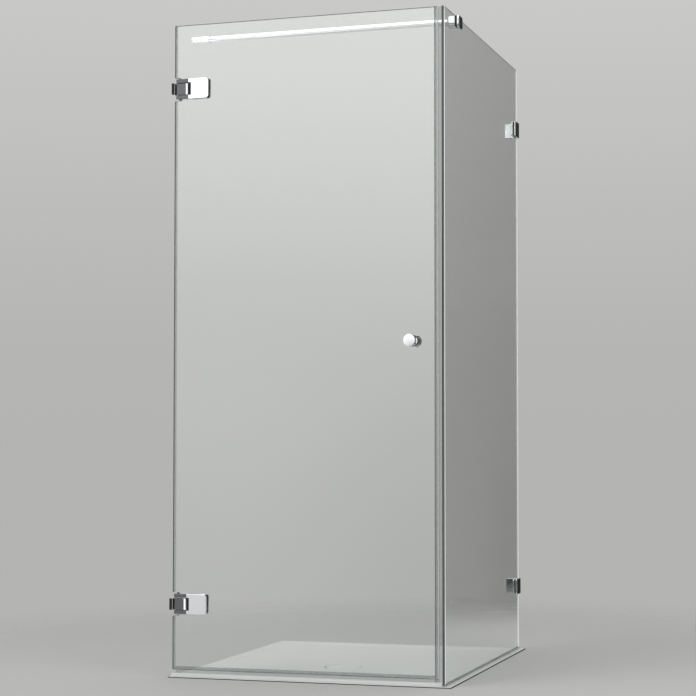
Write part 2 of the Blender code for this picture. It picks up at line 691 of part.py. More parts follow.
def flap_outline():
    """The clamp plate's C: a rounded plate with a notch at its wall side for the knuckle."""
    low, high = FLAP_START - PIVOT_OFFSET, FLAP_END - PIVOT_OFFSET
    notch = NOTCH_REACH - PIVOT_OFFSET
    half = FLAP_HEIGHT / 2
    gap = KNUCKLE_HEIGHT / 2 + EAR_GAP
    outline = [(low, -half)]
    outline += arc((high - FLAP_CORNER, -half + FLAP_CORNER), FLAP_CORNER, 270, 360)
    outline += arc((high - FLAP_CORNER, half - FLAP_CORNER), FLAP_CORNER, 0, 90)
    outline += [(low, half), (low, gap), (notch, gap), (notch, -gap), (low, -gap)]
    return outline


def barrel_slope(face, reach, end):
    """A wedge that slopes an outer face back towards the wall, from BARREL_START to the end given."""
    fall = BARREL_FALL / (BARREL_START - FLAP_START)
    start = BARREL_START - PIVOT_OFFSET
    outline = [
        (start + CUT_OVERRUN / fall, -face - CUT_OVERRUN),
        (end, -face - CUT_OVERRUN),
        (end, -face + fall * (start - end)),
    ]
    return prism(outline, -reach - CUT_OVERRUN, reach + CUT_OVERRUN, "Z")


def make_flap(materials, door, level, height, side):
    """A clamp plate with its two pin housings. side is -1 for the outer plate and 1 for the inner."""
    at = (PIVOT_X, DOOR_Y, height)
    name = {-1: "hinge_outer_plate", 1: "hinge_inner_plate"}[side]
    low, high = sorted((side * CLAMP_FACE, side * FLAP_FACE))
    mesh = prism(flap_outline(), low, high, "Y")
    flap = piece(f"{name}_{level}", mesh, materials["chrome"], at=at, parent=door, edge=FLAP_EDGE)
    near, far = sorted((side * SEAT_GAP / 2, side * (CLAMP_FACE + FLAP_THICKNESS / 2)))
    start = FLAP_START - PIVOT_OFFSET + FLAP_EDGE
    end = CUTOUT_REACH - PIVOT_OFFSET - HOUSING_GAP
    foot = KNUCKLE_HEIGHT / 2 + EAR_GAP
    top = FLAP_HEIGHT / 2 - CUTOUT_INSET - HOUSING_GAP
    upper = rounded((start, foot), (end, top), (0, 0, CUTOUT_CORNER, 0))
    lower = [(u, -v) for u, v in upper]
    join(flap, prism(upper, near, far, "Y"), prism(lower, near, far, "Y"))
    reach = FLAP_HEIGHT / 2
    cut(flap, bore((0, 0), PIN_RADIUS + SEAT_GAP, -reach, reach, "Z"))
    screw_x = CLAMP_SCREW_REACH - PIVOT_OFFSET
    sizes = (CLAMP_HEAD_RADIUS, CLAMP_HEAD_HEIGHT, CLAMP_SCREW_RADIUS)
    length = 2 * FLAP_FACE - BLIND_COVER - SEAT_GAP
    for number, way in enumerate((-1, 1), 1):
        z = way * CLAMP_SCREW_SPREAD
        if side > 0:
            head = (screw_x, FLAP_FACE, z)
            cut(flap, countersink(head, "Y", *sizes, length))
            seat = Vector(at) + Vector(head)
            name = f"hinge_clamp_screw_{level}_{number}"
            add_screw(name, materials["steel"], *sizes, length, seat, "Y", door)
        else:
            hole = disc((screw_x, z), CLAMP_SCREW_RADIUS + SEAT_GAP)
            cut(flap, prism(hole, -BLIND_FLAP, -CLAMP_FACE + CUT_OVERRUN, "Y"))
    if side < 0:
        cut(flap, barrel_slope(FLAP_FACE, FLAP_HEIGHT / 2, FLAP_START - PIVOT_OFFSET - CUT_OVERRUN))


def make_hinge_gaskets(materials, door, level, height):
    at = (PIVOT_X, DOOR_Y, height)
    half = FLAP_HEIGHT / 2 - GASKET_INSET
    low = (CUTOUT_REACH - PIVOT_OFFSET + GASKET_INSET, -half)
    high = (FLAP_END - PIVOT_OFFSET - GASKET_INSET, half)
    outline = rounded(low, high, (0, FLAP_CORNER, FLAP_CORNER, 0))
    screw_x = CLAMP_SCREW_REACH - PIVOT_OFFSET
    for name, start in (("outer", -GASKET_FACE - GASKET), ("inner", GASKET_FACE)):
        mesh = prism(outline, start, start + GASKET, "Y")
        gasket = piece(f"hinge_{name}_gasket_{level}", mesh, materials["gasket"], at=at, parent=door)
        for way in (-1, 1):
            hole = (screw_x, way * CLAMP_SCREW_SPREAD)
            cut(gasket, bore(hole, CLAMP_SCREW_RADIUS + SEAT_GAP, start, start + GASKET, "Y"))


def make_hinge_bracket(materials, level, height):
    """The wall plate and the knuckle in one casting, its bush and its two wall screws."""
    at = (PIVOT_X, DOOR_Y, height)
    front = -GLASS / 2 - WALL_PLATE_LEAD
    half = WALL_PLATE_HEIGHT / 2
    outline = rectangle((front, -half), (front + WALL_PLATE_LENGTH, half))
    plate_face = WALL_PLATE - PIVOT_OFFSET
    mesh = prism(outline, -PIVOT_OFFSET, plate_face, "X")
    name = f"hinge_wall_bracket_{level}"
    bracket = piece(name, mesh, materials["chrome"], at=at, edge=WALL_PLATE_EDGE)
    depth = FLAP_FACE - KNUCKLE_SETBACK
    end = KNUCKLE_REACH - PIVOT_OFFSET
    root = plate_face - WALL_PLATE / 2
    reach = KNUCKLE_HEIGHT / 2
    shoulder = depth - KNUCKLE_CHAMFER
    nose = end - KNUCKLE_CHAMFER
    outline = [(root, -depth), (nose, -depth), (end, -shoulder)]
    outline += [(end, shoulder), (nose, depth), (root, depth)]
    join(bracket, prism(outline, -reach, reach, "Z"))
    bush_inner = PIN_RADIUS + SEAT_GAP
    bush_outer = bush_inner + BUSH_WALL
    sizes = (WALL_HEAD_RADIUS, WALL_HEAD_HEIGHT, WALL_SCREW_RADIUS)
    length = WALL_PLATE - WALL_SCREW_SHORT
    heads = [(plate_face, WALL_SCREW_SETBACK, way * WALL_SCREW_SPREAD) for way in (-1, 1)]
    cut(
        bracket,
        bore((0, 0), bush_outer + SEAT_GAP, -reach, reach, "Z"),
        barrel_slope(depth, reach, plate_face),
        *(countersink(head, "X", *sizes, length, CUT_OVERRUN) for head in heads),
    )
    for number, head in enumerate(heads, 1):
        name = f"hinge_wall_screw_{level}_{number}"
        add_screw(name, materials["steel"], *sizes, length, Vector(at) + Vector(head), "X")
    proud = reach + BUSH_PROUD
    profile = [(bush_inner, -proud), (bush_outer, -proud), (bush_outer, proud), (bush_inner, proud)]
    piece(f"hinge_bush_{level}", turned(profile, BORE_STEPS), materials["nylon"], at=at)


def make_pin(materials, door, level, height):
    reach = FLAP_HEIGHT / 2 + PIN_PROUD
    profile = [
        (0, -reach),
        (PIN_RADIUS - TURNED_EDGE / 2, -reach),
        (PIN_RADIUS, -reach + TURNED_EDGE / 2),
        (PIN_RADIUS, reach - TURNED_EDGE / 2),
        (PIN_RADIUS - TURNED_EDGE / 2, reach),
        (0, reach),
    ]
    mesh = turned(profile, BORE_STEPS)
    piece(f"hinge_pin_{level}", mesh, materials["steel"], at=(PIVOT_X, DOOR_Y, height), parent=door)


def make_hinges(materials, door):
    for level, height in HINGE_HEIGHTS.items():
        make_hinge_bracket(materials, level, height)
        make_pin(materials, door, level, height)
        make_hinge_gaskets(materials, door, level, height)
        for side in (-1, 1):
            make_flap(materials, door, level, height, side)


def make_knob(materials, door):
    """Two equal knobs on one stud through the glass, each on a washer."""
    knob_x = DOOR_RIGHT - KNOB_FROM_EDGE
    face = GLASS / 2 + SEAT_GAP + WASHER + SEAT_GAP
    neck = KNOB_FOOT + KNOB_NECK
    end = neck + KNOB_BODY
    bore_radius = STUD_RADIUS + SEAT_GAP
    profile = [(bore_radius, 0), (KNOB_FOOT_RADIUS, 0), (KNOB_FOOT_RADIUS, KNOB_FOOT)]
    profile += [(KNOB_NECK_RADIUS, KNOB_FOOT), (KNOB_NECK_RADIUS, neck)]
    profile += arc((KNOB_RADIUS - TURNED_EDGE, neck + TURNED_EDGE), TURNED_EDGE, -90, 0, 2)
    profile += arc((KNOB_RADIUS - KNOB_RIM, end - KNOB_RIM), KNOB_RIM, 0, 90, ARC_STEPS)
    profile += [(KNOB_RADIUS / 2, end + 3 * KNOB_CROWN / 4), (0, end + KNOB_CROWN)]
    profile += [(0, KNOB_BORE), (bore_radius, KNOB_BORE)]
    washer = [(bore_radius, 0), (WASHER_RADIUS, 0), (WASHER_RADIUS, WASHER), (bore_radius, WASHER)]
    for name, towards, side in (("outer", "-Y", -1), ("inner", "Y", 1)):
        at = (knob_x, DOOR_Y + side * face, KNOB_Z)
        piece(f"knob_{name}", turned(profile), materials["chrome"], at=at, towards=towards, parent=door)
        at = (knob_x, DOOR_Y + side * GASKET_FACE, KNOB_Z)
        ring = turned(washer, BORE_STEPS)
        piece(f"knob_washer_{name}", ring, materials["seal"], at=at, towards=towards, parent=door)
    reach = face + STUD_REACH
    profile = [(0, -reach), (STUD_RADIUS, -reach), (STUD_RADIUS, reach), (0, reach)]
    piece(
        "knob_stud", turned(profile, BORE_STEPS), materials["steel"],
        at=(knob_x, DOOR_Y, KNOB_Z), towards="Y", parent=door,
    )


# Stabiliser


def make_stabiliser(materials):
    """The bar from the left wall to the panel, its wall holder and sleeve, and its glass clamp."""
    chrome = materials["chrome"]
    block_face = PANEL_X - BAR_CLAMP_FACE
    block_start = block_face - BLOCK_WIDTH
    socket_end = block_start + BLOCK_SOCKET
    holder_end = WALL_X + HOLDER_LENGTH
    bar_start = holder_end - HOLDER_SOCKET + SEAT_GAP
    bar_end = socket_end - CLAMP_HEAD_HEIGHT - SEAT_GAP
    socket = BAR_RADIUS + SEAT_GAP

    edge = TURNED_EDGE / 2
    length = bar_end - bar_start
    profile = [(0, 0), (BAR_RADIUS - edge, 0), (BAR_RADIUS, edge)]
    profile += [(BAR_RADIUS, length - edge), (BAR_RADIUS - edge, length), (0, length)]
    piece("stabiliser_bar", turned(profile), chrome, at=(bar_start, BAR_Y, BAR_Z), towards="X")

    radius, edge = HOLDER_RADIUS, TURNED_EDGE
    groove_low = (HOLDER_FOOT + HOLDER_LENGTH - HOLDER_GROOVE_WIDTH) / 2
    groove_high = groove_low + HOLDER_GROOVE_WIDTH
    profile = [
        (0, 0),
        (HOLDER_FOOT_RADIUS, 0),
        (HOLDER_FOOT_RADIUS, HOLDER_FOOT),
        (radius, HOLDER_FOOT),
        (radius, groove_low),
        (radius - HOLDER_GROOVE, groove_low),
        (radius - HOLDER_GROOVE, groove_high),
        (radius, groove_high),
        (radius, HOLDER_LENGTH - edge),
        (radius - edge, HOLDER_LENGTH),
        (socket, HOLDER_LENGTH),
        (socket, HOLDER_LENGTH - HOLDER_SOCKET),
        (0, HOLDER_LENGTH - HOLDER_SOCKET),
    ]
    piece("bar_wall_holder", turned(profile), chrome, at=(WALL_X, BAR_Y, BAR_Z), towards="X")

    outer = socket + SLEEVE_WALL
    low, high = SEAT_GAP, SEAT_GAP + SLEEVE_LENGTH
    profile = [(socket, low), (outer, low), (outer, high - edge), (outer - edge, high), (socket, high)]
    piece("bar_sleeve", turned(profile), chrome, at=(holder_end, BAR_Y, BAR_Z), towards="X")

    top = BAR_DROP + BLOCK_RISE
    half = BLOCK_LENGTH / 2
    outline = rectangle((-half, top - BLOCK_HEIGHT), (half, top))
    mesh = prism(outline, -BLOCK_WIDTH, 0, "X")
    at = (block_face, BAR_Y, BAR_Z)
    block = piece("bar_clamp_block", mesh, chrome, at=at, edge=BLOCK_EDGE)
    grub_foot = top - BLOCK_HEIGHT
    grub_x = (block_start + bar_end) / 2 - block_face
    socket_depth = BLOCK_SOCKET - BLOCK_WIDTH
    clamp_sizes = (CLAMP_HEAD_RADIUS, CLAMP_HEAD_HEIGHT, CLAMP_SCREW_RADIUS)
    clamp_length = BLOCK_WIDTH - BLOCK_SOCKET + CLAMP_HEAD_HEIGHT + 2 * BAR_CLAMP_FACE
    clamp_length += BAR_CHEEK - BLIND_COVER - SEAT_GAP
    screw_head = (socket_depth - CLAMP_HEAD_HEIGHT, 0, 0)
    grub = disc((grub_x, 0), GRUB_RADIUS + SEAT_GAP)
    cut(
        block,
        prism(disc((0, 0), socket, ROUND_STEPS), -BLOCK_WIDTH - CUT_OVERRUN, socket_depth, "X"),
        bore((0, 0), CLAMP_SCREW_RADIUS + SEAT_GAP, socket_depth, 0, "X"),
        prism(grub, grub_foot - CUT_OVERRUN, 0, "Z"),
    )
    at = Vector(at) + Vector(screw_head)
    add_screw("bar_clamp_screw", materials["steel"], *clamp_sizes, clamp_length, at, "-X")

    length = -BAR_RADIUS - SEAT_GAP - grub_foot + GRUB_PROUD
    profile = [(0, 0), (GRUB_RADIUS, 0), (GRUB_RADIUS, -length), (0, -length)]
    at = (block_face + grub_x, BAR_Y, BAR_Z + grub_foot - GRUB_PROUD)
    grub = piece("bar_grub_screw", turned(profile, BORE_STEPS), materials["steel"], at=at, towards="-Z")
    cut(grub, prism(disc((0, 0), SOCKET_RADIUS, HEX_FACES), -SOCKET_DEPTH, CUT_OVERRUN, "Z"))

    half = BAR_CHEEK_LENGTH / 2
    outline = rectangle((-half, top - BAR_CHEEK_HEIGHT), (half, top))
    mesh = prism(outline, 0, BAR_CHEEK, "X")
    at = (PANEL_X + BAR_CLAMP_FACE, BAR_Y, BAR_Z)
    cheek = piece("bar_clamp_cheek", mesh, chrome, at=at, edge=BLOCK_EDGE)
    hole = disc((0, 0), CLAMP_SCREW_RADIUS + SEAT_GAP)
    cut(cheek, prism(hole, -CUT_OVERRUN, BAR_CHEEK - BLIND_COVER, "X"))

    # One folded gasket over the glass's top edge, between block, glass and cheek
    inset = BAR_GASKET_INSET
    inner, outer = GASKET_FACE, GASKET_FACE + BAR_GASKET
    crest = BAR_DROP + SEAT_GAP
    foot = top - BLOCK_HEIGHT + inset
    outline = [
        (-outer, foot), (-inner, foot), (-inner, crest), (inner, crest), (inner, foot),
        (outer, foot), (outer, crest + BAR_GASKET), (-outer, crest + BAR_GASKET),
    ]
    half = BLOCK_LENGTH / 2 - inset
    mesh = prism(outline, -half, half, "Y")
    gasket = piece("bar_clamp_gasket", mesh, materials["gasket"], at=(PANEL_X, BAR_Y, BAR_Z))
    cut(gasket, bore((0, 0), CLAMP_SCREW_RADIUS + SEAT_GAP, -outer, outer, "X"))


def main():
    for obj in list(bpy.context.scene.objects):
        bpy.data.objects.remove(obj, do_unlink=True)
    bpy.context.scene.unit_settings.system = "METRIC"
    materials = make_materials()
    door = bpy.data.objects.new("door_pivot", None)
    door.location = (PIVOT_X, DOOR_Y, TRAY_TOP)
    bpy.context.scene.collection.objects.link(door)
    make_tray(materials)
    make_threshold(materials)
    make_side_panel(materials)
    for level, height in CLAMP_HEIGHTS.items():
        make_wall_clamp(materials, level, height)
    make_door_glass(materials, door)
    make_door_seals(materials, door)
    make_hinges(materials, door)
    make_knob(materials, door)
    make_stabiliser(materials)


main()
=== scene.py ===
"""A corner shower enclosure: fine surfaces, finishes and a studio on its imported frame."""

import math

import bmesh
import bpy
import numpy as np
from mathutils import Matrix, Vector


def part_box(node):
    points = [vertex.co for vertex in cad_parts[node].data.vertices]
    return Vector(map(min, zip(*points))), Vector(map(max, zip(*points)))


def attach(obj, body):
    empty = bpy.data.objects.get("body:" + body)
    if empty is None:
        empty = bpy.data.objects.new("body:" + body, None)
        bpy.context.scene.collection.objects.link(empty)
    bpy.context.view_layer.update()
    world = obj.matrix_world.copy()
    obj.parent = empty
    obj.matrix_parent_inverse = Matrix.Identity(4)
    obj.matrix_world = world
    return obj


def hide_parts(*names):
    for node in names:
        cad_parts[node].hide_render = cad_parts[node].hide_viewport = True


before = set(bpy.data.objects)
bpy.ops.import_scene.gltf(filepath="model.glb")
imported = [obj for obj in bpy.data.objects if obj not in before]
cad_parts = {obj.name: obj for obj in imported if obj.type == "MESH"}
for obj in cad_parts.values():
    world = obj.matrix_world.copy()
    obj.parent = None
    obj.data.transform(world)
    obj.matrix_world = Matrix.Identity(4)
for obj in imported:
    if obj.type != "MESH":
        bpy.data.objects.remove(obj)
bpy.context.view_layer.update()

bl_info = {
    "name": "Corner shower enclosure",
    "version": (1, 0, 0),
    "blender": (4, 5, 0),
    "location": "3D View > Sidebar > Shower",
    "description": "Fine surfaces, finishes and a studio for a corner shower enclosure",
    "category": "Add Mesh",
}

WELD = 0.0000002  # points closer than this are one point
SEAT_GAP = 0.0003  # between pieces that touch
FINEST, FINER, FINE = 0.0002, 0.0003, 0.0004  # roundings of small edges
LEVELS = ("lower", "upper")


# Values that a user would change


def linear(code):
    """An sRGB hex colour as linear red, green and blue.

    A share s up to 0.04045 becomes s / 12.92, and a greater one ((s + 0.055) / 1.055) ** 2.4.
    """
    shares = np.array([int(code[i : i + 2], 16) for i in (1, 3, 5)]) / 255
    curve = ((shares + 0.055) / 1.055) ** 2.4
    return tuple(np.where(shares <= 0.04045, shares / 12.92, curve).tolist())


def length(name, description, default):
    """A property for a length in metres."""
    values = {"default": default, "min": 0, "precision": 5, "subtype": "DISTANCE", "unit": "LENGTH"}
    return bpy.props.FloatProperty(name=name, description=description, **values)


def colour(name, description, code):
    """A property for a colour, written as sRGB hex."""
    values = {"default": linear(code), "min": 0, "max": 1, "size": 3, "subtype": "COLOR"}
    return bpy.props.FloatVectorProperty(name=name, description=description, **values)


def share(name, description, default, highest=1.0):
    """A property for a plain number such as a roughness or a level of light."""
    values = {"default": default, "min": 0, "max": highest, "precision": 3, "subtype": "FACTOR"}
    return bpy.props.FloatProperty(name=name, description=description, **values)


class ShowerSizes(bpy.types.PropertyGroup):
    """Sizes of the fine shapes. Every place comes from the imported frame."""

    tray_edge: length("Tray edge", "Rounding of the tray's outer top edge", 0.0020)
    tray_corner: length("Tray corner", "Radius of the tray's corners in plan", 0.0060)
    tray_rim: length("Tray rim", "Width of the flat rim round the basin", 0.046)
    basin_corner: length("Basin corner", "Radius of the basin's corners in plan", 0.030)
    basin_step: length("Basin step", "Drop just inside the rim", 0.0015)
    basin_run: length("Basin step run", "Width of the drop inside the rim", 0.006)
    basin_fall: length("Basin fall", "Depth of the basin at the waste", 0.007)
    recess_radius: length("Waste recess radius", "Radius of the cover's recess", 0.060)
    recess_depth: length("Waste recess depth", "Depth of the cover's recess", 0.0085)
    outlet_radius: length("Outlet radius", "Radius of the hole through the tray", 0.045)
    cover_edge: length("Cover edge", "Rounding of the drain cover's rim", 0.0010)
    cover_crown: length("Cover crown", "Rise of the drain cover's middle", 0.0008)
    seal_wall: length("Seal wall", "Wall of the clip-on seals", 0.0014)
    seal_fin: length("Seal fin", "Thickness of the seals' fins", 0.0018)
    # painted highlights: widths of pale bands of the arris finish on the panel's outer face
    glass: length("Glass", "Thickness of both panes", 0.008)
    arris_highlight: length("Arris line", "Width of the lit line by the panel's front edge", 0.0045)
    wall_highlight: length("Wall line", "Width of the lit line by the panel's rear edge", 0.0120)
    flap_corner: length("Hinge plate corner", "Radius of the hinge plates' free corners", 0.009)
    flap_edge: length("Hinge plate edge", "Rounding round the hinge plates", 0.0015)
    wall_bevel: length("Wall plate bevel", "How far the hinge's wall plate slants back", 0.0044)
    barrel_fall: length("Barrel fall", "How far the hinge's barrel side slopes back", 0.003)
    knuckle_chamfer: length("Knuckle chamfer", "Chamfer on the knuckle's nose", 0.0045)
    clamp_corner: length("Clamp corner", "Radius of the wall clamps' corners", 0.005)
    clamp_edge: length("Clamp edge", "Rounding round the wall clamps", 0.0012)
    block_corner: length("Bar clamp corner", "Radius of the bar clamp's corners", 0.0090)
    block_foot: length("Bar clamp foot", "Radius of the bar clamp's lower front corner", 0.0120)
    block_edge: length("Bar clamp edge", "Rounding of the bar clamp's free side", 0.0065)
    knob_rim: length("Knob rim", "Rounding of the knob's face", 0.0007)
    knob_taper: length("Knob taper", "How much the knob narrows towards its foot", 0.0024)
    knob_crown: length("Knob crown", "Rise of the knob's face", 0.0003)
    turned_edge: length("Turned edge", "Rounding of turned pieces", 0.0010)


class ShowerFinish(bpy.types.PropertyGroup):
    """Colours and roughness of real materials, and painted light and shade on edges and lips."""

    tray: colour("Tray", "White gelcoat of the cast tray", "#E9EAE8")
    cover: colour("Drain cover", "White moulded cover", "#EBECEA")
    glass: colour("Glass", "Clear glass seen through its faces", "#F8FAF9")
    # painted shade and painted light: the panes' edges dark, their middle paler, for light run
    # through the glass
    painted_edge_shade: colour("Glass edge", "Polished edge of the panes", "#0C0F0E")
    painted_core_light: colour("Glass core", "Light that the middle of the edge carries", "#7A7E7D")
    # the arris finish also paints highlights on the panes, and glows faintly as painted light
    arris: colour("Glass arris", "Ground chamfer of the panes", "#F6F8F7")
    chrome: colour("Chrome", "Polished chrome", "#D5D7D9")
    seal: colour("Seal", "Clear PVC of the seals' legs", "#ABAEAD")
    # painted shade: the lips' dark grey stands for the lip seen edge-on and the shade under it
    lip: colour("Seal lip", "Soft smoky PVC of the seals' lips", "#636767")
    strip: colour("Strip", "White PVC of the wall strip and the threshold", "#DCDDDC")
    gasket: colour("Gasket", "Black EPDM gaskets", "#1A1B1C")
    steel: colour("Stainless steel", "Screws, pins and the waste flange", "#B3B4B5")
    nylon: colour("Nylon", "White bushes", "#DFDED8")
    chrome_roughness: share("Chrome roughness", "Roughness of the polished chrome", 0.05)
    tray_roughness: share("Tray roughness", "Roughness of the gelcoat", 0.32)
    glass_roughness: share("Glass roughness", "Roughness of clean glass", 0.0)


class ShowerStudio(bpy.types.PropertyGroup):
    """Floor, light and camera."""

    floor: colour("Floor", "Plain pale floor", "#CACAC8")
    backdrop: colour("Backdrop", "Plain pale background", "#CCCCCA")
    horizon: colour("Horizon", "The backdrop's tone at the height of the floor", "#B4B4B2")
    # the joint's dark is partly a joint and partly painted shade of the gap round the tray
    joint: colour("Joint", "Dark joint round the tray", "#2A2A2A")
    joint_gap: length("Joint gap", "Width of the joint between the tray and the floor", 0.0030)
    floor_drop: length("Floor drop", "How far the floor lies below the tray's rim", 0.0030)
    floor_reach: length("Floor reach", "Half the floor's width", 9.0)
    fade_start: length("Fade start", "Where the floor begins to turn into the backdrop", 0.9)
    fade_end: length("Fade end", "Where the floor has become the backdrop", 2.3)
    world_light: share("World light", "Even light from all round", 0.40, 4)
    band_light: share("Band light", "Brightness of the tall soft light in mirrors", 1.95, 10)
    key_power: share("Key lamp", "Power of the large soft lamp in watts", 85, 2000)
    fill_power: share("Fill lamp", "Power of the lamp above in watts", 22, 2000)
    side_power: share("Side lamp", "Power of the lamp to the right in watts", 55, 2000)
    lens: bpy.props.FloatProperty(name="Lens", description="Focal length in mm", default=82.507)


# Surfaces

FLAT_START = 1.25  # where a plate's face turns flat, in edge widths inside its outline
TIP = 1.3  # least radius of a plate's outer corners, in edge widths: more than FLAT_START


def unit(vectors):
    """Each vector divided by its own length."""
    return vectors / np.linalg.norm(vectors, axis=-1, keepdims=True)


def distinct(outline):
    """The outline without points that repeat the one before them."""
    far = np.linalg.norm(outline - np.roll(outline, 1, 0), axis=1) > WELD
    return outline[far]


def fillet(corners, radii, steps=8):
    """A closed outline whose corners are rounded by arcs.

    At a corner p whose sides point along a and b, with half the angle between them h and the radius
    r, the arc's centre is p + (a + b) / |a + b| * r / sin h. It runs from p + a * r / tan h to
    p + b * r / tan h, and its points turn evenly between the two.
    """
    corner = np.asarray(corners, float)
    radius = np.broadcast_to(np.asarray(radii, float), len(corner))[:, None]
    back = unit(np.roll(corner, 1, 0) - corner)
    ahead = unit(np.roll(corner, -1, 0) - corner)
    half = np.arccos(np.clip((back * ahead).sum(1), -1, 1))[:, None] / 2
    centre = corner + unit(back + ahead) * radius / np.sin(half)
    start = corner + back * radius / np.tan(half) - centre
    end = corner + ahead * radius / np.tan(half) - centre
    sweep = (np.pi - 2 * half)[:, None]
    t = np.linspace(0, 1, steps + 1)[None, :, None]
    turned = np.sin((1 - t) * sweep) * start[:, None] + np.sin(t * sweep) * end[:, None]
    return distinct((centre[:, None] + turned / np.sin(sweep)).reshape(-1, 2))


def rectangle(low, high):
    """The four corners between two points of a plane."""
    return [(low[0], low[1]), (high[0], low[1]), (high[0], high[1]), (low[0], high[1])]


def counter_clockwise(outline):
    """The outline in the order that makes its area, half the sum of u * v' - u' * v, positive."""
    u, v = outline.T
    area = (u * np.roll(v, -1) - np.roll(u, -1) * v).sum()
    return outline if area > 0 else outline[::-1]


def inset(outline, distance):
    """The outline moved inwards by a distance, its corners mitred.

    With n and m the outward normals of the sides that meet at a point, the point moves by
    -distance * (n + m) / (1 + n . m).
    """
    side = unit(np.roll(outline, -1, 0) - outline)
    after = np.stack([side[:, 1], -side[:, 0]], 1)
    before = np.roll(after, 1, 0)
    return outline - distance * (before + after) / (1 + (before * after).sum(1, keepdims=True))


def along(axis, outline, height):
    """Points (u, v) at a height w: (w, u, v) for X, (u, w, v) for Y, (u, v, w) for Z."""
    u, v = outline[..., 0], outline[..., 1]
    w = np.broadcast_to(height, u.shape)
    order = {"X": (w, u, v), "Y": (u, w, v), "Z": (u, v, w)}[axis]
    return np.stack(order, -1)


def shell(points, loop=False):
    """A closed skin over a grid of points whose columns run round it.

    The rows close on each other where loop is set. Otherwise the first and last row are each filled
    by one face, or meet in a pole.
    """
    rows, columns = points.shape[:2]
    index = np.arange(rows * columns).reshape(rows, columns)
    index = np.concatenate([index, index[:, :1]], 1)
    if loop:
        index = np.concatenate([index, index[:1]], 0)
    quads = np.stack([index[:-1, :-1], index[:-1, 1:], index[1:, 1:], index[1:, :-1]], -1)
    faces = quads.reshape(-1, 4).tolist()
    if not loop:
        faces += [index[0, -2::-1].tolist(), index[-1, :-1].tolist()]
    return points.reshape(-1, 3), faces


def plate(outline, low, high, axis, edge=0, steps=5):
    """The outline carried from low to high along an axis, its rims rounded over the edge's width.

    At an angle a from 0 to 90 degrees, the rounded rim lies edge * (1 - sin a) inside the outline
    and edge * (1 - cos a) from the face. One more ring at FLAT_START keeps the face flat up to the
    rim. A pair of widths rounds the rim at low and the rim at high each on its own.
    """
    outline = counter_clockwise(distinct(np.asarray(outline, float)))
    angle = np.linspace(0, np.pi / 2, steps + 1)
    inward = np.concatenate([[FLAT_START], 1 - np.sin(angle)])
    rise = np.concatenate([[0], 1 - np.cos(angle)])
    first, last = np.broadcast_to(edge, 2)
    if not first:
        inward, rise = np.zeros(1), np.zeros(1)
    height = np.concatenate([low + first * rise, high - last * rise[::-1]])
    inward = np.concatenate([first * inward, last * inward[::-1]])
    rings = [along(axis, inset(outline, distance), w) for distance, w in zip(inward, height)]
    return shell(np.stack(rings))


def revolved(profile, at, axis, steps=72, loop=False):
    """A profile of radius and height turned round an axis through a point.

    The point at turn t is at + radius * (cos t * e + sin t * f) + height * axis, where e and f
    stand square to the axis and to each other.
    """
    profile = np.asarray(profile, float)
    axis = np.asarray(axis, float)
    e = np.roll(np.abs(axis), 1)
    f = np.cross(axis, e)
    turn = np.linspace(0, 2 * np.pi, steps, endpoint=False)[None, :, None]
    radius, height = profile[:, 0][:, None, None], profile[:, 1][:, None, None]
    points = np.asarray(at, float) + radius * (np.cos(turn) * e + np.sin(turn) * f) + height * axis
    return shell(points, loop)


def crowned(radius, height, rise, steps):
    """A crown's profile inside a radius: height + rise * (1 - (r / radius) ** 2)."""
    spread = np.linspace(radius, 0, steps)[1:]
    return np.stack([spread, height + rise * (1 - (spread / radius) ** 2)], 1)


def edges_on(mesh, co, place, normal):
    """Which edges lie in a plane: both their ends p have (p - place) . normal close to 0."""
    ends = np.empty(2 * len(mesh.edges), np.int32)
    mesh.edges.foreach_get("vertices", ends)
    away = np.abs((co - np.asarray(place)) @ np.asarray(normal, float))[ends.reshape(-1, 2)]
    return (away < 100 * WELD).all(1)


def read(collection, name):
    """A mesh's triples of numbers as one array, a row for each vertex or face."""
    values = np.empty(3 * len(collection))
    collection.foreach_get(name, values)
    return values.reshape(-1, 3)


def cut_by(work, place, normal):
    """Cuts a mesh in work along a plane, and keeps both sides."""
    geometry = work.verts[:] + work.edges[:] + work.faces[:]
    bmesh.ops.bisect_plane(work, geom=geometry, dist=WELD, plane_co=place, plane_no=normal)


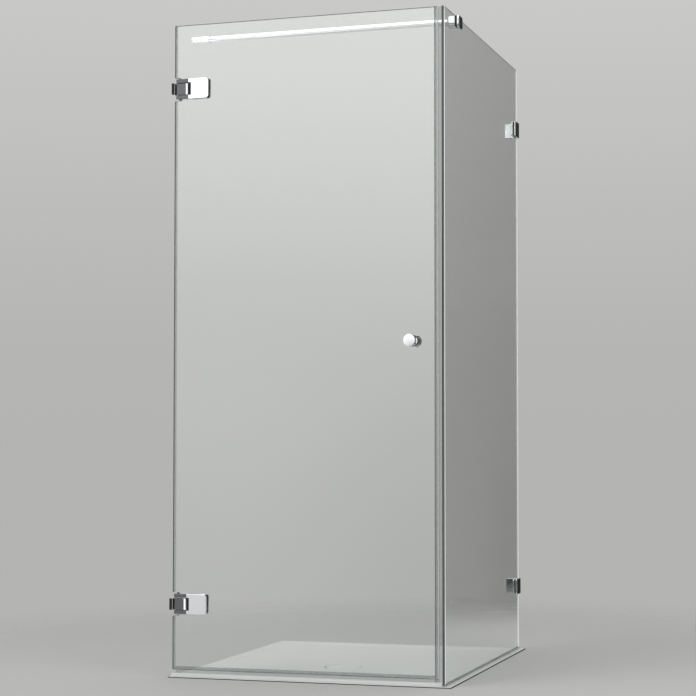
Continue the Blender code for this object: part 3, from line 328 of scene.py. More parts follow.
def solid(
    name, parts, slot, body, node, finish=None,
    crease=38, cuts=(), bend=None, accent=None, even=False,
):
    """One object of closed skins that replaces a node. Its finish is named as its slot, or given.

    Doubles are merged and the faces are turned outwards. Edges are sharp above the crease's angle
    in degrees. The skins are cut by planes where a bend needs a crease, and the bend moves all
    points as one array. An accent is a second finish and a test that picks its faces by their
    centres. Even shading weighs normals by area, so that flat faces between rounded rims stay flat
    to the eye.
    """
    starts = np.cumsum([0] + [len(points) for points, _ in parts])
    points = np.concatenate([points for points, _ in parts])
    faces = [
        [i + int(start) for i in face] for start, (_, part) in zip(starts, parts) for face in part
    ]
    mesh = bpy.data.meshes.new(name)
    mesh.from_pydata(points.tolist(), [], faces)
    work = bmesh.new()
    work.from_mesh(mesh)
    bmesh.ops.remove_doubles(work, verts=work.verts, dist=WELD)
    bmesh.ops.dissolve_degenerate(work, edges=work.edges, dist=WELD)
    for place, normal in cuts:
        cut_by(work, place, normal)
    bmesh.ops.recalc_face_normals(work, faces=work.faces)
    work.to_mesh(mesh)
    work.free()
    co = read(mesh.vertices, "co")
    mesh.shade_smooth()
    mesh.set_sharp_from_angle(angle=math.radians(crease))
    if cuts:
        sharp = np.empty(len(mesh.edges), bool)
        mesh.edges.foreach_get("use_edge_sharp", sharp)
        for place, normal in cuts:
            sharp |= edges_on(mesh, co, place, normal)
        mesh.edges.foreach_set("use_edge_sharp", sharp)
    if bend:
        mesh.vertices.foreach_set("co", bend(co).ravel())
    mesh.materials.append(finish_of(finish or slot))
    if accent:
        second, test = accent
        mesh.materials.append(finish_of(second))
        chosen = test(read(mesh.polygons, "center"))
        mesh.polygons.foreach_set("material_index", chosen.astype(np.int32))
    mesh.update()
    made = show(name, mesh, slot, body, node)
    if even:
        made.modifiers.new("even shading", "WEIGHTED_NORMAL").keep_sharp = True


def show(name, mesh, slot, body, node):
    """An object for the mesh, riding on its body in place of the node."""
    made = bpy.data.objects.new(name, mesh)
    bpy.context.scene.collection.objects.link(made)
    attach(made, body)
    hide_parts(node)
    return made


# Materials


def add(tree, kind, settings=None):
    """Adds a node. A setting is a property, an input's value, or a socket to link to an input."""
    made = tree.nodes.new("ShaderNode" + kind)
    for key, value in (settings or {}).items():
        if isinstance(value, bpy.types.NodeSocket):
            tree.links.new(value, made.inputs[key])
        elif isinstance(key, int) or key in made.inputs:
            made.inputs[key].default_value = value
        else:
            setattr(made, key, value)
    return made


def together(tree, operation, first, *others):
    """Levels of light or shares, each a socket or a number, as one sum, product or greatest."""
    for other in others:
        settings = {"operation": operation, 0: first, 1: other}
        first = add(tree, "Math", settings).outputs["Value"]
    return first


def surface(name, shade, roughness, **values):
    """A material with one Principled shader, whose other inputs are given by name."""
    made = bpy.data.materials.new(name)
    made.use_nodes = True
    shader = made.node_tree.nodes["Principled BSDF"]
    shader.inputs["Base Color"].default_value = (*shade, 1)
    shader.inputs["Roughness"].default_value = roughness
    for key, value in values.items():
        shader.inputs[key.replace("_", " ")].default_value = value
    return made


def pattern(made, millimetres, stretch=(1, 1, 1), detail=3.0, rough=None, shades=None, relief=None):
    """A pattern of noise over a surface, with features of this size, drawn out along x, y and z.

    It carries the roughness from low to high, the colour between two shades, and a relief of a
    depth in metres, each where it is given.
    """
    tree = made.node_tree
    shader = tree.nodes["Principled BSDF"]
    coordinates = add(tree, "TexCoord").outputs["Object"]
    placed = {"Scale": tuple(1 / factor for factor in stretch), "Vector": coordinates}
    placed = add(tree, "Mapping", placed).outputs["Vector"]
    values = {"Scale": 1000 / millimetres, "Detail": detail, "Roughness": 0.55, "Vector": placed}
    noise = add(tree, "TexNoise", values).outputs["Fac"]
    if rough:
        low, high = rough
        # Noise keeps mostly between 0.3 and 0.7
        values = {"From Min": 0.3, "From Max": 0.7, "To Min": low, "To Max": high, "Value": noise}
        level = add(tree, "MapRange", values).outputs["Result"]
        tree.links.new(level, shader.inputs["Roughness"])
    if shades:
        first, second = shades
        values = {"data_type": "RGBA", 0: noise, 6: (*first, 1), 7: (*second, 1)}
        tree.links.new(add(tree, "Mix", values).outputs[2], shader.inputs["Base Color"])
    if relief:
        values = {"Strength": 1.0, "Distance": relief, "Height": noise}
        tree.links.new(add(tree, "Bump", values).outputs["Normal"], shader.inputs["Normal"])


def shaded(shade, *factors):
    """A shade times each factor."""
    return [tuple(part * factor for part in shade) for factor in factors]


def blended(made, factor, tint=(1, 1, 1)):
    """Mixes the surface with clear nothing of a tint, by a factor."""
    tree = made.node_tree
    shader = tree.nodes["Principled BSDF"].outputs["BSDF"]
    clear = add(tree, "BsdfTransparent", {"Color": (*tint, 1)}).outputs["BSDF"]
    mixed = add(tree, "MixShader", {0: factor, 1: shader, 2: clear}).outputs["Shader"]
    tree.links.new(mixed, tree.nodes["Material Output"].inputs["Surface"])


def clear_to_lamps(made, tint, share_of_clear=0.0):
    """Lets lamps and scattered light pass a clear piece, as its real thickness would."""
    tree = made.node_tree
    path = add(tree, "LightPath").outputs
    passing = (path["Is Shadow Ray"], path["Is Diffuse Ray"], share_of_clear)
    blended(made, together(tree, "MAXIMUM", *passing), linear(tint))


def toughened_glass(finish):
    """Clear float glass, toughened: mirror faces with the slight waviness that the rollers leave.

    The real waves are about 250 mm long and under 0.1 mm deep.
    """
    made = surface(
        "toughened glass", finish.glass, finish.glass_roughness, IOR=1.52, Transmission_Weight=1.0
    )
    pattern(made, 260, (1, 1, 0.6), 0.0, relief=0.00004)
    clear_to_lamps(made, "#E9EBEA")
    return made


def polished_glass_edge(finish):
    """The pane's edge, polished: painted shade, dark green, for light run through the glass."""
    return edge_finish("polished glass edge", finish.painted_edge_shade)


def edge_core_painted_light(finish):
    """The middle of the pane's edge, painted paler: painted light carried along the pane."""
    return edge_finish("glass edge core", finish.painted_core_light)


def edge_finish(name, shade):
    """A glass edge polished with a felt wheel, its tone in soft clouds along the edge."""
    made = surface(name, shade, 0.2, IOR=1.52, Specular_IOR_Level=0.15)
    pattern(made, 90, (1, 1, 4), shades=shaded(shade, 0.7, 1.4))
    return made


def arris_and_painted_highlights(finish):
    """The edge's chamfer, ground with a fine belt: pale, satin, with a painted glow from inside."""
    # painted light: a faint glow in the arris colour
    painted_glow = {"Emission_Color": (*finish.arris, 1), "Emission_Strength": 0.2}
    made = surface("ground glass arris", finish.arris, 0.42, IOR=1.52, **painted_glow)
    pattern(made, 4, rough=(0.34, 0.5))
    return made


def polished_chrome(finish):
    """Bright chrome on brass: a clean mirror with the faintest smears of handling."""
    roughness = finish.chrome_roughness
    made = surface("polished chrome", finish.chrome, roughness, Metallic=1.0)
    pattern(made, 14, (1, 1, 2), rough=(roughness * 0.6, roughness * 1.8))
    return made


def white_gelcoat(finish):
    """Cast mineral tray with a white gelcoat: satin, with a faint orange peel and soft clouding.

    The real orange peel is 2 to 3 mm across. It is drawn 20 mm across, so that it shows.
    """
    roughness = finish.tray_roughness
    made = surface("white gelcoat", finish.tray, roughness, IOR=1.5)
    pattern(made, 160, shades=shaded(finish.tray, 0.965, 1.03))
    pattern(made, 90, rough=(roughness * 0.9, roughness * 1.12))
    pattern(made, 20, detail=0.0, relief=0.000003)
    return made


def white_abs(finish):
    """Injection-moulded ABS of the drain cover: even, satin, with a fine spark-eroded grain."""
    made = surface("white moulded ABS", finish.cover, 0.34, IOR=1.53)
    pattern(made, 12, rough=(0.28, 0.42))
    pattern(made, 1.6, detail=1.0, relief=0.00002)
    return made


def clear_pvc(finish):
    """Extruded clear PVC of the seals' legs: water-clear over the glass, with fine lines along it.

    The real lines are about 0.3 mm apart. They are drawn 1 mm apart, so that they show.
    """
    made = surface("clear extruded PVC", finish.seal, 0.24, IOR=1.53, Specular_IOR_Level=0.3)
    pattern(made, 1.0, (1, 1, 400), 1.0, relief=0.000004)
    pattern(made, 25, (1, 1, 6), rough=(0.2, 0.32))
    clear_to_lamps(made, "#F6F7F7", 0.86)
    return made


def white_pvc(finish):
    """Rigid white PVC of the wall strip and the threshold: satin, smooth from its die."""
    made = surface("white extruded PVC", finish.strip, 0.3, IOR=1.53)
    pattern(made, 18, (4, 1, 4), rough=(0.24, 0.38))
    pattern(made, 2.0, (40, 1, 40), 1.0, relief=0.000004)
    return made


def lip_pvc_painted_shade(finish):
    """Soft PVC extruded onto the clear legs as lip and bead: matt, slightly translucent."""
    # painted shade: the dark grey of the lips, seen edge-on and in the shade under them
    made = surface("soft smoky PVC", finish.lip, 0.38, IOR=1.5)
    pattern(made, 20, (1, 1, 6), rough=(0.32, 0.46))
    clear_to_lamps(made, "#D8DCD9", 0.3)
    return made


def black_epdm(finish):
    """Die-cut EPDM rubber: black, dull, finely pitted."""
    made = surface("black EPDM rubber", finish.gasket, 0.62, IOR=1.5)
    pattern(made, 1.2, shades=shaded(finish.gasket, 0.8, 1.5), relief=0.00004)
    return made


def turned_steel(finish):
    """Turned stainless steel: bright, with fine tool marks.

    The real marks are about 0.1 mm apart. They are drawn 0.5 mm apart, so that they show.
    """
    made = surface("turned stainless steel", finish.steel, 0.26, Metallic=1.0)
    pattern(made, 0.5, (6, 6, 1), 1.0, rough=(0.2, 0.34), relief=0.00001)
    return made


def white_nylon(finish):
    """Moulded nylon bushes: white, waxy."""
    made = surface("white nylon", finish.nylon, 0.42, IOR=1.53)
    pattern(made, 5, rough=(0.36, 0.5))
    return made


FINISHES = {
    "glass": toughened_glass,
    "edge": polished_glass_edge,
    "core": edge_core_painted_light,
    "arris": arris_and_painted_highlights,
    "chrome": polished_chrome,
    "tray": white_gelcoat,
    "cover": white_abs,
    "seal": clear_pvc,
    "lip": lip_pvc_painted_shade,
    "strip": white_pvc,
    "gasket": black_epdm,
    "steel": turned_steel,
    "nylon": white_nylon,
}
made_finishes = {}


def finish_of(name):
    """The finish's material, made once."""
    if name not in made_finishes:
        made_finishes[name] = FINISHES[name](bpy.context.scene.shower_finish)
    return made_finishes[name]


def dress(name, *nodes):
    """Gives CAD nodes that stay as they are their material."""
    for node in nodes:
        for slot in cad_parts[node].material_slots:
            slot.material = finish_of(name)


# Tray and waste

RECESS_LIP = 0.0008  # rounding at the top of the cover's recess
SIDE_GAP = 20 * WELD  # the tray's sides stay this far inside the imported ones


def radial(outline, centre, angles):
    """How far an outline lies from a centre in each direction, read off its own points."""
    away = outline - centre
    turn = np.arctan2(away[:, 1], away[:, 0])
    order = np.argsort(turn)
    reach = np.linalg.norm(away, axis=1)
    return np.interp(angles, turn[order], reach[order], period=2 * np.pi)


def dense(outline, steps=400):
    """The outline with each side split into equal steps."""
    t = np.linspace(0, 1, steps, endpoint=False)[None, :, None]
    following = np.roll(outline, -1, 0)
    return (outline[:, None] * (1 - t) + following[:, None] * t).reshape(-1, 2)


class SHOWER_OT_tray(bpy.types.Operator):
    """Cast the tray: rim, basin step, falls to the waste, recess and outlet"""

    bl_idname = "shower.tray"
    bl_label = "Tray"
    bl_options = {"REGISTER", "UNDO"}

    def execute(self, context):
        """Rings round the waste, each a height and a distance from the waste in every direction.

        Outside the basin a ring follows the tray's outline. Down the basin's step its height eases
        by s * s * (3 - 2 * s). Between the basin's floor and the waste it lies at the distance
        (1 - s) * floor + s * waste and sinks evenly from the step's drop to the basin's fall.
        """
        sizes = context.scene.shower_sizes
        low, high = (np.array(corner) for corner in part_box("shower_tray"))
        flange_low, flange_high = (np.array(corner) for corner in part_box("waste_flange"))
        waste = ((flange_low + flange_high) / 2)[:2]
        top, run, edge = high[2], sizes.basin_run, sizes.tray_edge
        rim_low, rim_high = low[:2] + sizes.tray_rim, high[:2] - sizes.tray_rim
        outer = fillet(rectangle(low, high), sizes.tray_corner, 10)
        rim = fillet(rectangle(rim_low, rim_high), sizes.basin_corner, 14)
        floor = fillet(rectangle(rim_low + run, rim_high - run), sizes.basin_corner - run, 14)
        angles = np.linspace(-np.pi, np.pi, 240, endpoint=False)
        for outline in (outer, rim, floor):
            away = outline - waste
            angles = np.concatenate([angles, np.arctan2(away[:, 1], away[:, 0])])
        angles = np.unique(np.round(angles, 5))
        rings = []

        def ring(distance, height):
            u = waste[0] + distance * np.cos(angles)
            v = waste[1] + distance * np.sin(angles)
            rings.append(np.stack([u, v, np.broadcast_to(height, u.shape)], -1))

        def follow(outline, distance=0.0):
            return radial(dense(inset(outline, distance)), waste, angles)

        chamfer, flat_start, just_outside = 0.5 * edge, 1.4 * edge, 1.004
        ring(follow(outer, chamfer), low[2])
        ring(follow(outer, SIDE_GAP), low[2] + chamfer)
        for angle in np.linspace(0, np.pi / 2, 7):
            inside = edge * (1 - np.cos(angle)) + SIDE_GAP
            ring(follow(outer, inside), top - edge * (1 - np.sin(angle)))
        ring(follow(outer, flat_start), top)
        rim_reach, floor_reach = follow(rim), follow(floor)
        ring(rim_reach * just_outside, top)
        for s in np.linspace(0, 1, 9):
            distance = rim_reach * (1 - s) + floor_reach * s
            ring(distance, top - sizes.basin_step * (s * s * (3 - 2 * s)))
        recess, outlet, first = sizes.recess_radius, sizes.outlet_radius, 0.02
        for s in np.linspace(first, 1, 36):
            distance = floor_reach * (1 - s) + (recess + RECESS_LIP) * s
            ring(distance, top - (sizes.basin_step * (1 - s) + sizes.basin_fall * s))
        basin = top - sizes.basin_fall
        for angle in np.linspace(0, np.pi / 2, 4)[1:]:
            distance = recess + RECESS_LIP * (1 - np.sin(angle))
            ring(distance, basin - RECESS_LIP * (1 - np.cos(angle)))
        bottom = basin - sizes.recess_depth
        for distance, height in ((recess, bottom), (outlet, bottom), (outlet, low[2])):
            ring(distance, height)
        parts = [shell(np.stack(rings), loop=True)]
        solid("tray_cast", parts, "tray", "frame", "shower_tray", crease=30)
        return {"FINISHED"}


class SHOWER_OT_waste(bpy.types.Operator):
    """Mould the drain cover and finish the waste's flange"""

    bl_idname = "shower.waste"
    bl_label = "Waste"
    bl_options = {"REGISTER", "UNDO"}

    def execute(self, context):
        """A turned cover: its stem, a quarter of a circle round its rim, and the crown."""
        sizes = context.scene.shower_sizes
        low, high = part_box("drain_cover")
        centre = ((low.x + high.x) / 2, (low.y + high.y) / 2, 0)
        radius, edge = (high.x - low.x) / 2, sizes.cover_edge
        top = high.z - sizes.cover_crown
        thickness, stem, stem_wall = 0.0035, 0.034, 0.002
        under, bore = top - thickness, stem - stem_wall
        turn = np.linspace(0, np.pi / 2, 6)
        rim = np.stack([radius - edge + edge * np.cos(turn), top - edge + edge * np.sin(turn)], 1)
        lower = [(0, under), (bore, under), (bore, low.z), (stem, low.z), (stem, under)]
        lower += [(radius - edge, under), (radius, under + edge)]
        crown = crowned(radius - edge, top, sizes.cover_crown, 14)
        profile = np.concatenate([np.array(lower), rim, crown])
        parts = [revolved(profile, centre, (0, 0, 1), 120)]

        feet, foot, chamfer = 3, 0.0035, 0.0005
        seat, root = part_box("waste_flange")[1].z + SEAT_GAP, under + 0.001
        profile = [(0, seat), (foot - chamfer, seat), (foot, seat + chamfer)]
        profile += [(foot, root), (0, root)]
        ring = (sizes.outlet_radius + radius) / 2
        for angle in np.arange(feet) * 2 * np.pi / feet:
            at = (centre[0] + ring * np.cos(angle), centre[1] + ring * np.sin(angle), 0)
            parts.append(revolved(profile, at, (0, 0, 1), 24))
        solid("drain_cover_moulded", parts, "cover", "cover", "drain_cover")
        dress("steel", "waste_flange")
        return {"FINISHED"}


# Glass and seals

CAD_WELD = 0.00001  # a packed pane's loose points closer than this are one point
FLAT_ANGLE = 0.001  # faces that meet at less than this, in radians, are one face
SLANTED, BONDED, FACING = 0.4, 0.6, 0.95  # least shares of a direction in a face's normal
SEAL_LEG = 0.0045


def pane(sizes, node, body, axis):
    """A merged copy of a pane: faces clear, upright arrises ground, edges polished.

    Two cuts along the edge set off its middle, painted paler as painted light. The edges under
    the closing seal and the wall strip take the pale arris finish as painted highlights, and so do
    narrow lines on the panel's outer face beside its upright edges. Level arrises and the panel's
    inner ones are polished too. The axis is the one across the pane.
    """
    low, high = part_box(node)
    middle, core = (low[axis] + high[axis]) / 2, (high[axis] - low[axis]) * 0.14
    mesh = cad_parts[node].data.copy()
    work = bmesh.new()
    work.from_mesh(mesh)
    bmesh.ops.remove_doubles(work, verts=work.verts, dist=CAD_WELD)
    bmesh.ops.dissolve_limit(work, angle_limit=FLAT_ANGLE, verts=work.verts, edges=work.edges)
    is_panel = axis == 0
    lines = (low.y + sizes.arris_highlight, high.y - sizes.wall_highlight)
    cuts = [(axis, middle - core), (axis, middle + core)]
    cuts += [(1, place) for place in lines if is_panel]
    for direction, place in cuts:
        at, normal = Vector(), Vector()
        at[direction], normal[direction] = place, 1
        cut_by(work, at, normal)
    work.to_mesh(mesh)
    work.free()
    mesh.shade_flat()
    mesh.materials.clear()
    order = ("glass", "arris", "edge", "core")
    for name in order:
        mesh.materials.append(finish_of(name))
    normals = read(mesh.polygons, "normal")
    centres = read(mesh.polygons, "center")
    across = np.abs(normals[:, axis])
    ground = (across > SLANTED) & (across < FACING) & (np.abs(normals[:, 2]) < SLANTED)
    if is_panel:
        ground &= normals[:, 0] > 0
    # painted highlight: the edges under the closing seal and the wall strip take the pale arris
    # finish
    bonded = normals[:, 1 - axis] > BONDED
    beside = (centres[:, 1] < lines[0]) | (centres[:, 1] > lines[1])
    # painted highlights: narrow bands of the panel's outer face beside its upright edges
    lit = (normals[:, 0] > FACING) & beside & is_panel
    # painted light: the paler middle of the edge
    inner = np.abs(centres[:, axis] - middle) < core
    tests = {"arris": ground | bonded | lit, "glass": across > FACING, "core": inner}
    chosen = [order.index(name) for name in tests]
    finish = np.select(list(tests.values()), chosen, order.index("edge"))
    mesh.polygons.foreach_set("material_index", finish.astype(np.int32))
    show(f"{node}_pane", mesh, "glass", body, node)


class SHOWER_OT_glass(bpy.types.Operator):
    """Cut, grind and polish the door and the side panel"""

    bl_idname = "shower.glass"
    bl_label = "Glass"
    bl_options = {"REGISTER", "UNDO"}

    def execute(self, context):
        sizes = context.scene.shower_sizes
        pane(sizes, "door_glass", "door", 1)
        pane(sizes, "side_panel_glass", "frame", 0)
        return {"FINISHED"}


def clip(sizes, leg, web, wall, fin_reach=0, bead=0):
    """A clip-on seal's section: a U round the glass's edge and a fin that ends in a round bead.

    The first coordinate runs out from the glass's edge and the second across the pane. The bead's
    arc starts and ends where it meets the fin, at the angle whose sine is half the fin over its
    radius.
    """
    inner = sizes.glass / 2 + SEAT_GAP
    outer, corner = inner + wall, 0.4 * wall
    web_low, web_high = SEAT_GAP, SEAT_GAP + web
    section = [(-leg, -outer), (web_high, -outer)]
    radii = [corner, corner]
    if fin_reach:
        half = sizes.seal_fin / 2
        meet = np.arcsin(min(1, half / bead)) if bead > half else np.pi / 2
        turn = np.linspace(meet - np.pi, np.pi - meet, 25)
        fin = np.stack([fin_reach - bead + bead * np.cos(turn), bead * np.sin(turn)], 1)
        section += [(web_high, -half)] + fin.tolist() + [(web_high, half)]
        radii += [0] * (len(fin) + 2)
    section += [(web_high, outer), (-leg, outer), (-leg, inner), (web_low, inner)]
    section += [(web_low, -inner), (-leg, -inner)]
    radii += [corner, corner, 0, 0, 0, 0]
    return fillet(section, radii, 3)


def extruded(node, body, section, axis, ends, lip=None, cut=None, finish="seal"):
    """A seal's section carried along an axis between two ends.

    The lip's softer plastic is given as a direction and the place below which it lies, and the cut
    as a place along x where its line starts.
    """
    # the lip's faces take the lip finish, whose grey is painted shade
    accent = ("lip", lambda at: at[:, lip[0]] < lip[1]) if lip else None
    cuts = [((cut, 0, 0), (1, 0, 0))] if cut else ()
    parts = [plate(section, *ends, axis)]
    name = f"{node}_extruded"
    solid(name, parts, "seal", body, node, finish, crease=32, cuts=cuts, accent=accent)


class SHOWER_OT_seals(bpy.types.Operator):
    """Extrude the door's seals, the panel's seals and the threshold strip"""

    bl_idname = "shower.seals"
    bl_label = "Seals"
    bl_options = {"REGISTER", "UNDO"}

    def execute(self, context):
        sizes = context.scene.shower_sizes
        self.on_the_door(sizes)
        self.round_the_panel(sizes)
        self.threshold()
        return {"FINISHED"}

    def on_the_door(self, sizes):
        """The closing seal, the hinge side's seal in three lengths, and the drip seal.

        The drip seal's lip slants inwards under its U.
        """
        wall = sizes.seal_wall
        glass_low, glass_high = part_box("door_glass")
        middle_y = (glass_low.y + glass_high.y) / 2
        low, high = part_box("closing_seal")
        leg, bead, line = 0.010, 0.0028, 0.0013
        section = clip(sizes, leg, wall, wall, high.x - glass_high.x, bead)
        section = section + (glass_high.x, middle_y)
        line += glass_high.x - leg
        extruded("closing_seal", "door", section, "Z", (low.z, high.z), (0, line), line)
        bead, soft = 0.0012, glass_low.x - wall
        for level in ("lower", "middle", "upper"):
            node = f"hinge_side_seal_{level}"
            low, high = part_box(node)
            section = clip(sizes, SEAL_LEG, wall, wall, glass_low.x - low.x, bead)
            section = section * (-1, 1) + (glass_low.x, middle_y)
            extruded(node, "door", section, "Z", (low.z, high.z), (0, soft))

        low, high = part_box("drip_seal")
        foot = glass_low.z
        inner, slant, thickness = sizes.glass / 2 + SEAT_GAP, 0.0030, 0.0013
        outer, web = inner + wall, -SEAT_GAP - wall
        root, top, tip = outer - slant, high.z - foot, low.z - foot
        section = [
            (-outer, top), (-outer, web), (root - thickness, web), (outer - thickness, tip),
            (outer, tip), (root, web), (outer, web), (outer, top), (inner, top),
            (inner, -SEAT_GAP), (-inner, -SEAT_GAP), (-inner, top),
        ]
        radii = [FINE, FINE, 0, FINER, FINER, 0, FINE, FINE, 0, 0, 0, 0]
        section = fillet(section, radii, 3) + (middle_y, foot)
        extruded("drip_seal", "door", section, "X", (low.x, high.x), (2, (low.z * 2 + foot) / 3))

    def round_the_panel(self, sizes):
        """The seal between panel and tray, and the wall strip on the panel's rear edge."""
        glass_low, glass_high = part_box("side_panel_glass")
        low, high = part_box("side_bottom_seal")
        wall = 0.0010
        section = clip(sizes, SEAL_LEG, glass_low.z - low.z - SEAT_GAP, wall)
        middle = ((glass_low.x + glass_high.x) / 2, glass_low.z)
        section = np.stack([section[:, 1], -section[:, 0]], 1) + middle
        extruded("side_bottom_seal", "frame", section, "Y", (low.y, high.y))

        low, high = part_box("side_wall_seal")
        corner = 0.0009
        section = fillet(rectangle(low, high), corner, 4)
        extruded("side_wall_seal", "frame", section, "Z", (low.z, high.z), finish="strip")

    def threshold(self):
        """Two flat flanges beside a ridge whose crest is half a circle."""
        low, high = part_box("threshold_strip")
        half, flange, ridge = (high.y - low.y) / 2, low.z + 0.0022, 0.00425
        turn = np.linspace(0, np.pi, 17)
        crest = np.stack([ridge * np.cos(turn), high.z - ridge + ridge * np.sin(turn)], 1)
        section = [(-half, low.z), (half, low.z), (half, flange), (ridge, flange)] + crest.tolist()
        section += [(-ridge, flange), (-half, flange)]
        rim, root = 0.0008, 0.0006
        radii = [0, 0, rim, root] + [0] * len(crest) + [root, rim]
        section = fillet(section, radii, 4) + ((low.y + high.y) / 2, 0)
        extruded("threshold_strip", "frame", section, "X", (low.x, high.x), finish="strip")


# Fittings

SLOPE = 0.0435  # width of the slope on the hinges' barrel side


def chromed(name, parts, body, node, **values):
    """A piece of polished chrome in place of a node."""
    solid(name, parts, "chrome", body, node, even=True, **values)


def slab(low, high, axis, radii, edge, steps=8, rim_steps=5):
    """A plate that fills the box between two points, its outline's corners rounded by radii."""
    first, second, third = {"X": (1, 2, 0), "Y": (0, 2, 1), "Z": (0, 1, 2)}[axis]
    corners = rectangle((low[first], low[second]), (high[first], high[second]))
    return plate(fillet(corners, radii, steps), low[third], high[third], axis, edge, rim_steps)


def sloped(sizes, low_x, near, far):
    """The cut and the bend for the barrel side's slope.

    A point whose y lies between near and far moves towards near by fall * (crease - x) * s, where s
    is its share of the way from near to far.
    """
    crease = low_x + SLOPE
    fall = sizes.barrel_fall / SLOPE

    def bend(co):
        x, y = co[:, 0], co[:, 1]
        between = (y < near) & (y > far - WELD)
        drop = fall * np.clip(crease - x, 0, None) * np.clip((near - y) / (near - far), 0, 1)
        moved = co.copy()
        moved[:, 1] += np.where(between, drop, 0)
        return moved

    return {"cuts": [((crease, 0, 0), (1, 0, 0))], "bend": bend}


class SHOWER_OT_hinges(bpy.types.Operator):
    """Cast, bevel and polish the wall hinges: brackets with their knuckles, and the clamp plates

    A black rubber piece in the outer plate's notch, round the knuckle, is painted shade of the gap.
    """

    bl_idname = "shower.hinges"
    bl_label = "Hinges"
    bl_options = {"REGISTER", "UNDO"}

    def execute(self, context):
        sizes = context.scene.shower_sizes
        low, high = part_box("door_glass")
        middle_y = (low.y + high.y) / 2
        for level in LEVELS:
            nose_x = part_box(f"hinge_wall_bracket_{level}")[1].x
            for side, sign in (("outer", -1), ("inner", 1)):
                self.clamp_plate(sizes, f"hinge_{side}_plate_{level}", sign, nose_x, middle_y)
            self.bracket(sizes, level, middle_y)
        return {"FINISHED"}

    def clamp_plate(self, sizes, node, sign, nose_x, middle_y):
        """A plate with its notch, and two pads beside the glass that meet the other plate's."""
        low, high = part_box(node)
        middle_z = (low.z + high.z) / 2
        half = (high.z - low.z) / 2
        edge, corner = sizes.flap_edge, sizes.flap_corner
        tip = TIP * edge
        notch, notch_x, notch_corner = 0.0191, nose_x + 0.012, 0.0008
        thickness = 0.0055
        corners = [
            (low.x, -half), (high.x, -half), (high.x, half), (low.x, half),
            (low.x, notch), (notch_x, notch), (notch_x, -notch), (low.x, -notch),
        ]
        radii = [tip, corner, corner, tip, tip, notch_corner, notch_corner, tip]
        outline = fillet(corners, radii, 10) + (0, middle_z)
        face = low.y if sign < 0 else high.y
        back = face - sign * thickness
        parts = [plate(outline, *sorted((face, back)), "Y", edge)]

        start, end = low.x + edge, low.x + 0.0529
        meeting, root = 0.00015, 0.008  # where the pads lie, from the middle of the glass
        pad_low, pad_high = sorted((middle_y + sign * meeting, middle_y + sign * root))
        pad_inset, pad_corner = 0.0026, 0.001
        for z_low, z_high in ((notch, half - pad_inset), (-half + pad_inset, -notch)):
            ends = (start, pad_low, middle_z + z_low), (end, pad_high, middle_z + z_high)
            parts.append(slab(*ends, "Y", pad_corner, FINE, 4, 2))
        values = {}
        if sign < 0:
            shade_liner, is_shade_liner = self.shade_liner(start, nose_x, notch, notch_x, back, middle_z)
            parts.append(shade_liner)
            # painted shade: the notch's rubber takes the black gasket finish
            values = {"accent": ("gasket", is_shade_liner), **sloped(sizes, low.x, back, face)}
        chromed(f"{node}_polished", parts, "door", node, **values)

    def shade_liner(self, start, nose_x, notch, notch_x, back, middle_z):
        """The notch's black rubber, painted shade of the gap, and the test that picks its faces."""
        slot, lap = 0.0179, 0.002
        inner_x, outer_x, outside = nose_x + 0.0035, notch_x + lap, notch + lap
        corners = [
            (start, -outside), (outer_x, -outside), (outer_x, outside), (start, outside),
            (start, slot), (inner_x, slot), (inner_x, -slot), (start, -slot),
        ]
        outline = np.asarray(corners) + (0, middle_z)
        front_y, back_y = back - 0.0013, back - 0.0005
        middle_y, reach = (front_y + back_y) / 2, 0.0012

        def is_shade_liner(at):
            within = (at[:, 0] < outer_x + WELD) & (np.abs(at[:, 2] - middle_z) < outside + WELD)
            return within & (np.abs(at[:, 1] - middle_y) < reach)

        return plate(outline, front_y, back_y, "Y", FINEST, 2), is_shade_liner

    def bracket(self, sizes, level, middle_y):
        """The wall plate, its front side slanted, and the knuckle with its chamfers."""
        node = f"hinge_wall_bracket_{level}"
        low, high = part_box(node)
        middle_z = (low.z + high.z) / 2
        face_x = low.x + 0.008
        corner, edge = 0.0012, 0.0009
        corners = [
            (low.x, low.y), (face_x, low.y + sizes.wall_bevel), (face_x, high.y), (low.x, high.y)
        ]
        parts = [plate(fillet(corners, [0, corner, corner, 0], 5), low.z, high.z, "Z", edge)]

        flap_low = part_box(f"hinge_outer_plate_{level}")[0]
        sunk, half, corner = 0.0008, 0.0175, 0.0006
        depth = middle_y - flap_low.y - sunk
        near, far = middle_y - depth, middle_y + depth
        chamfer = sizes.knuckle_chamfer
        root, shoulder = face_x - 0.004, high.x - chamfer
        corners = [
            (root, near), (shoulder, near), (high.x, near + chamfer),
            (high.x, far - chamfer), (shoulder, far), (root, far),
        ]
        outline = fillet(corners, [0] + [corner] * 4 + [0], 4)
        parts.append(plate(outline, middle_z - half, middle_z + half, "Z", FINE, 3))
        values = sloped(sizes, flap_low.x, middle_y, near)
        chromed(f"{node}_polished", parts, "frame", node, **values)


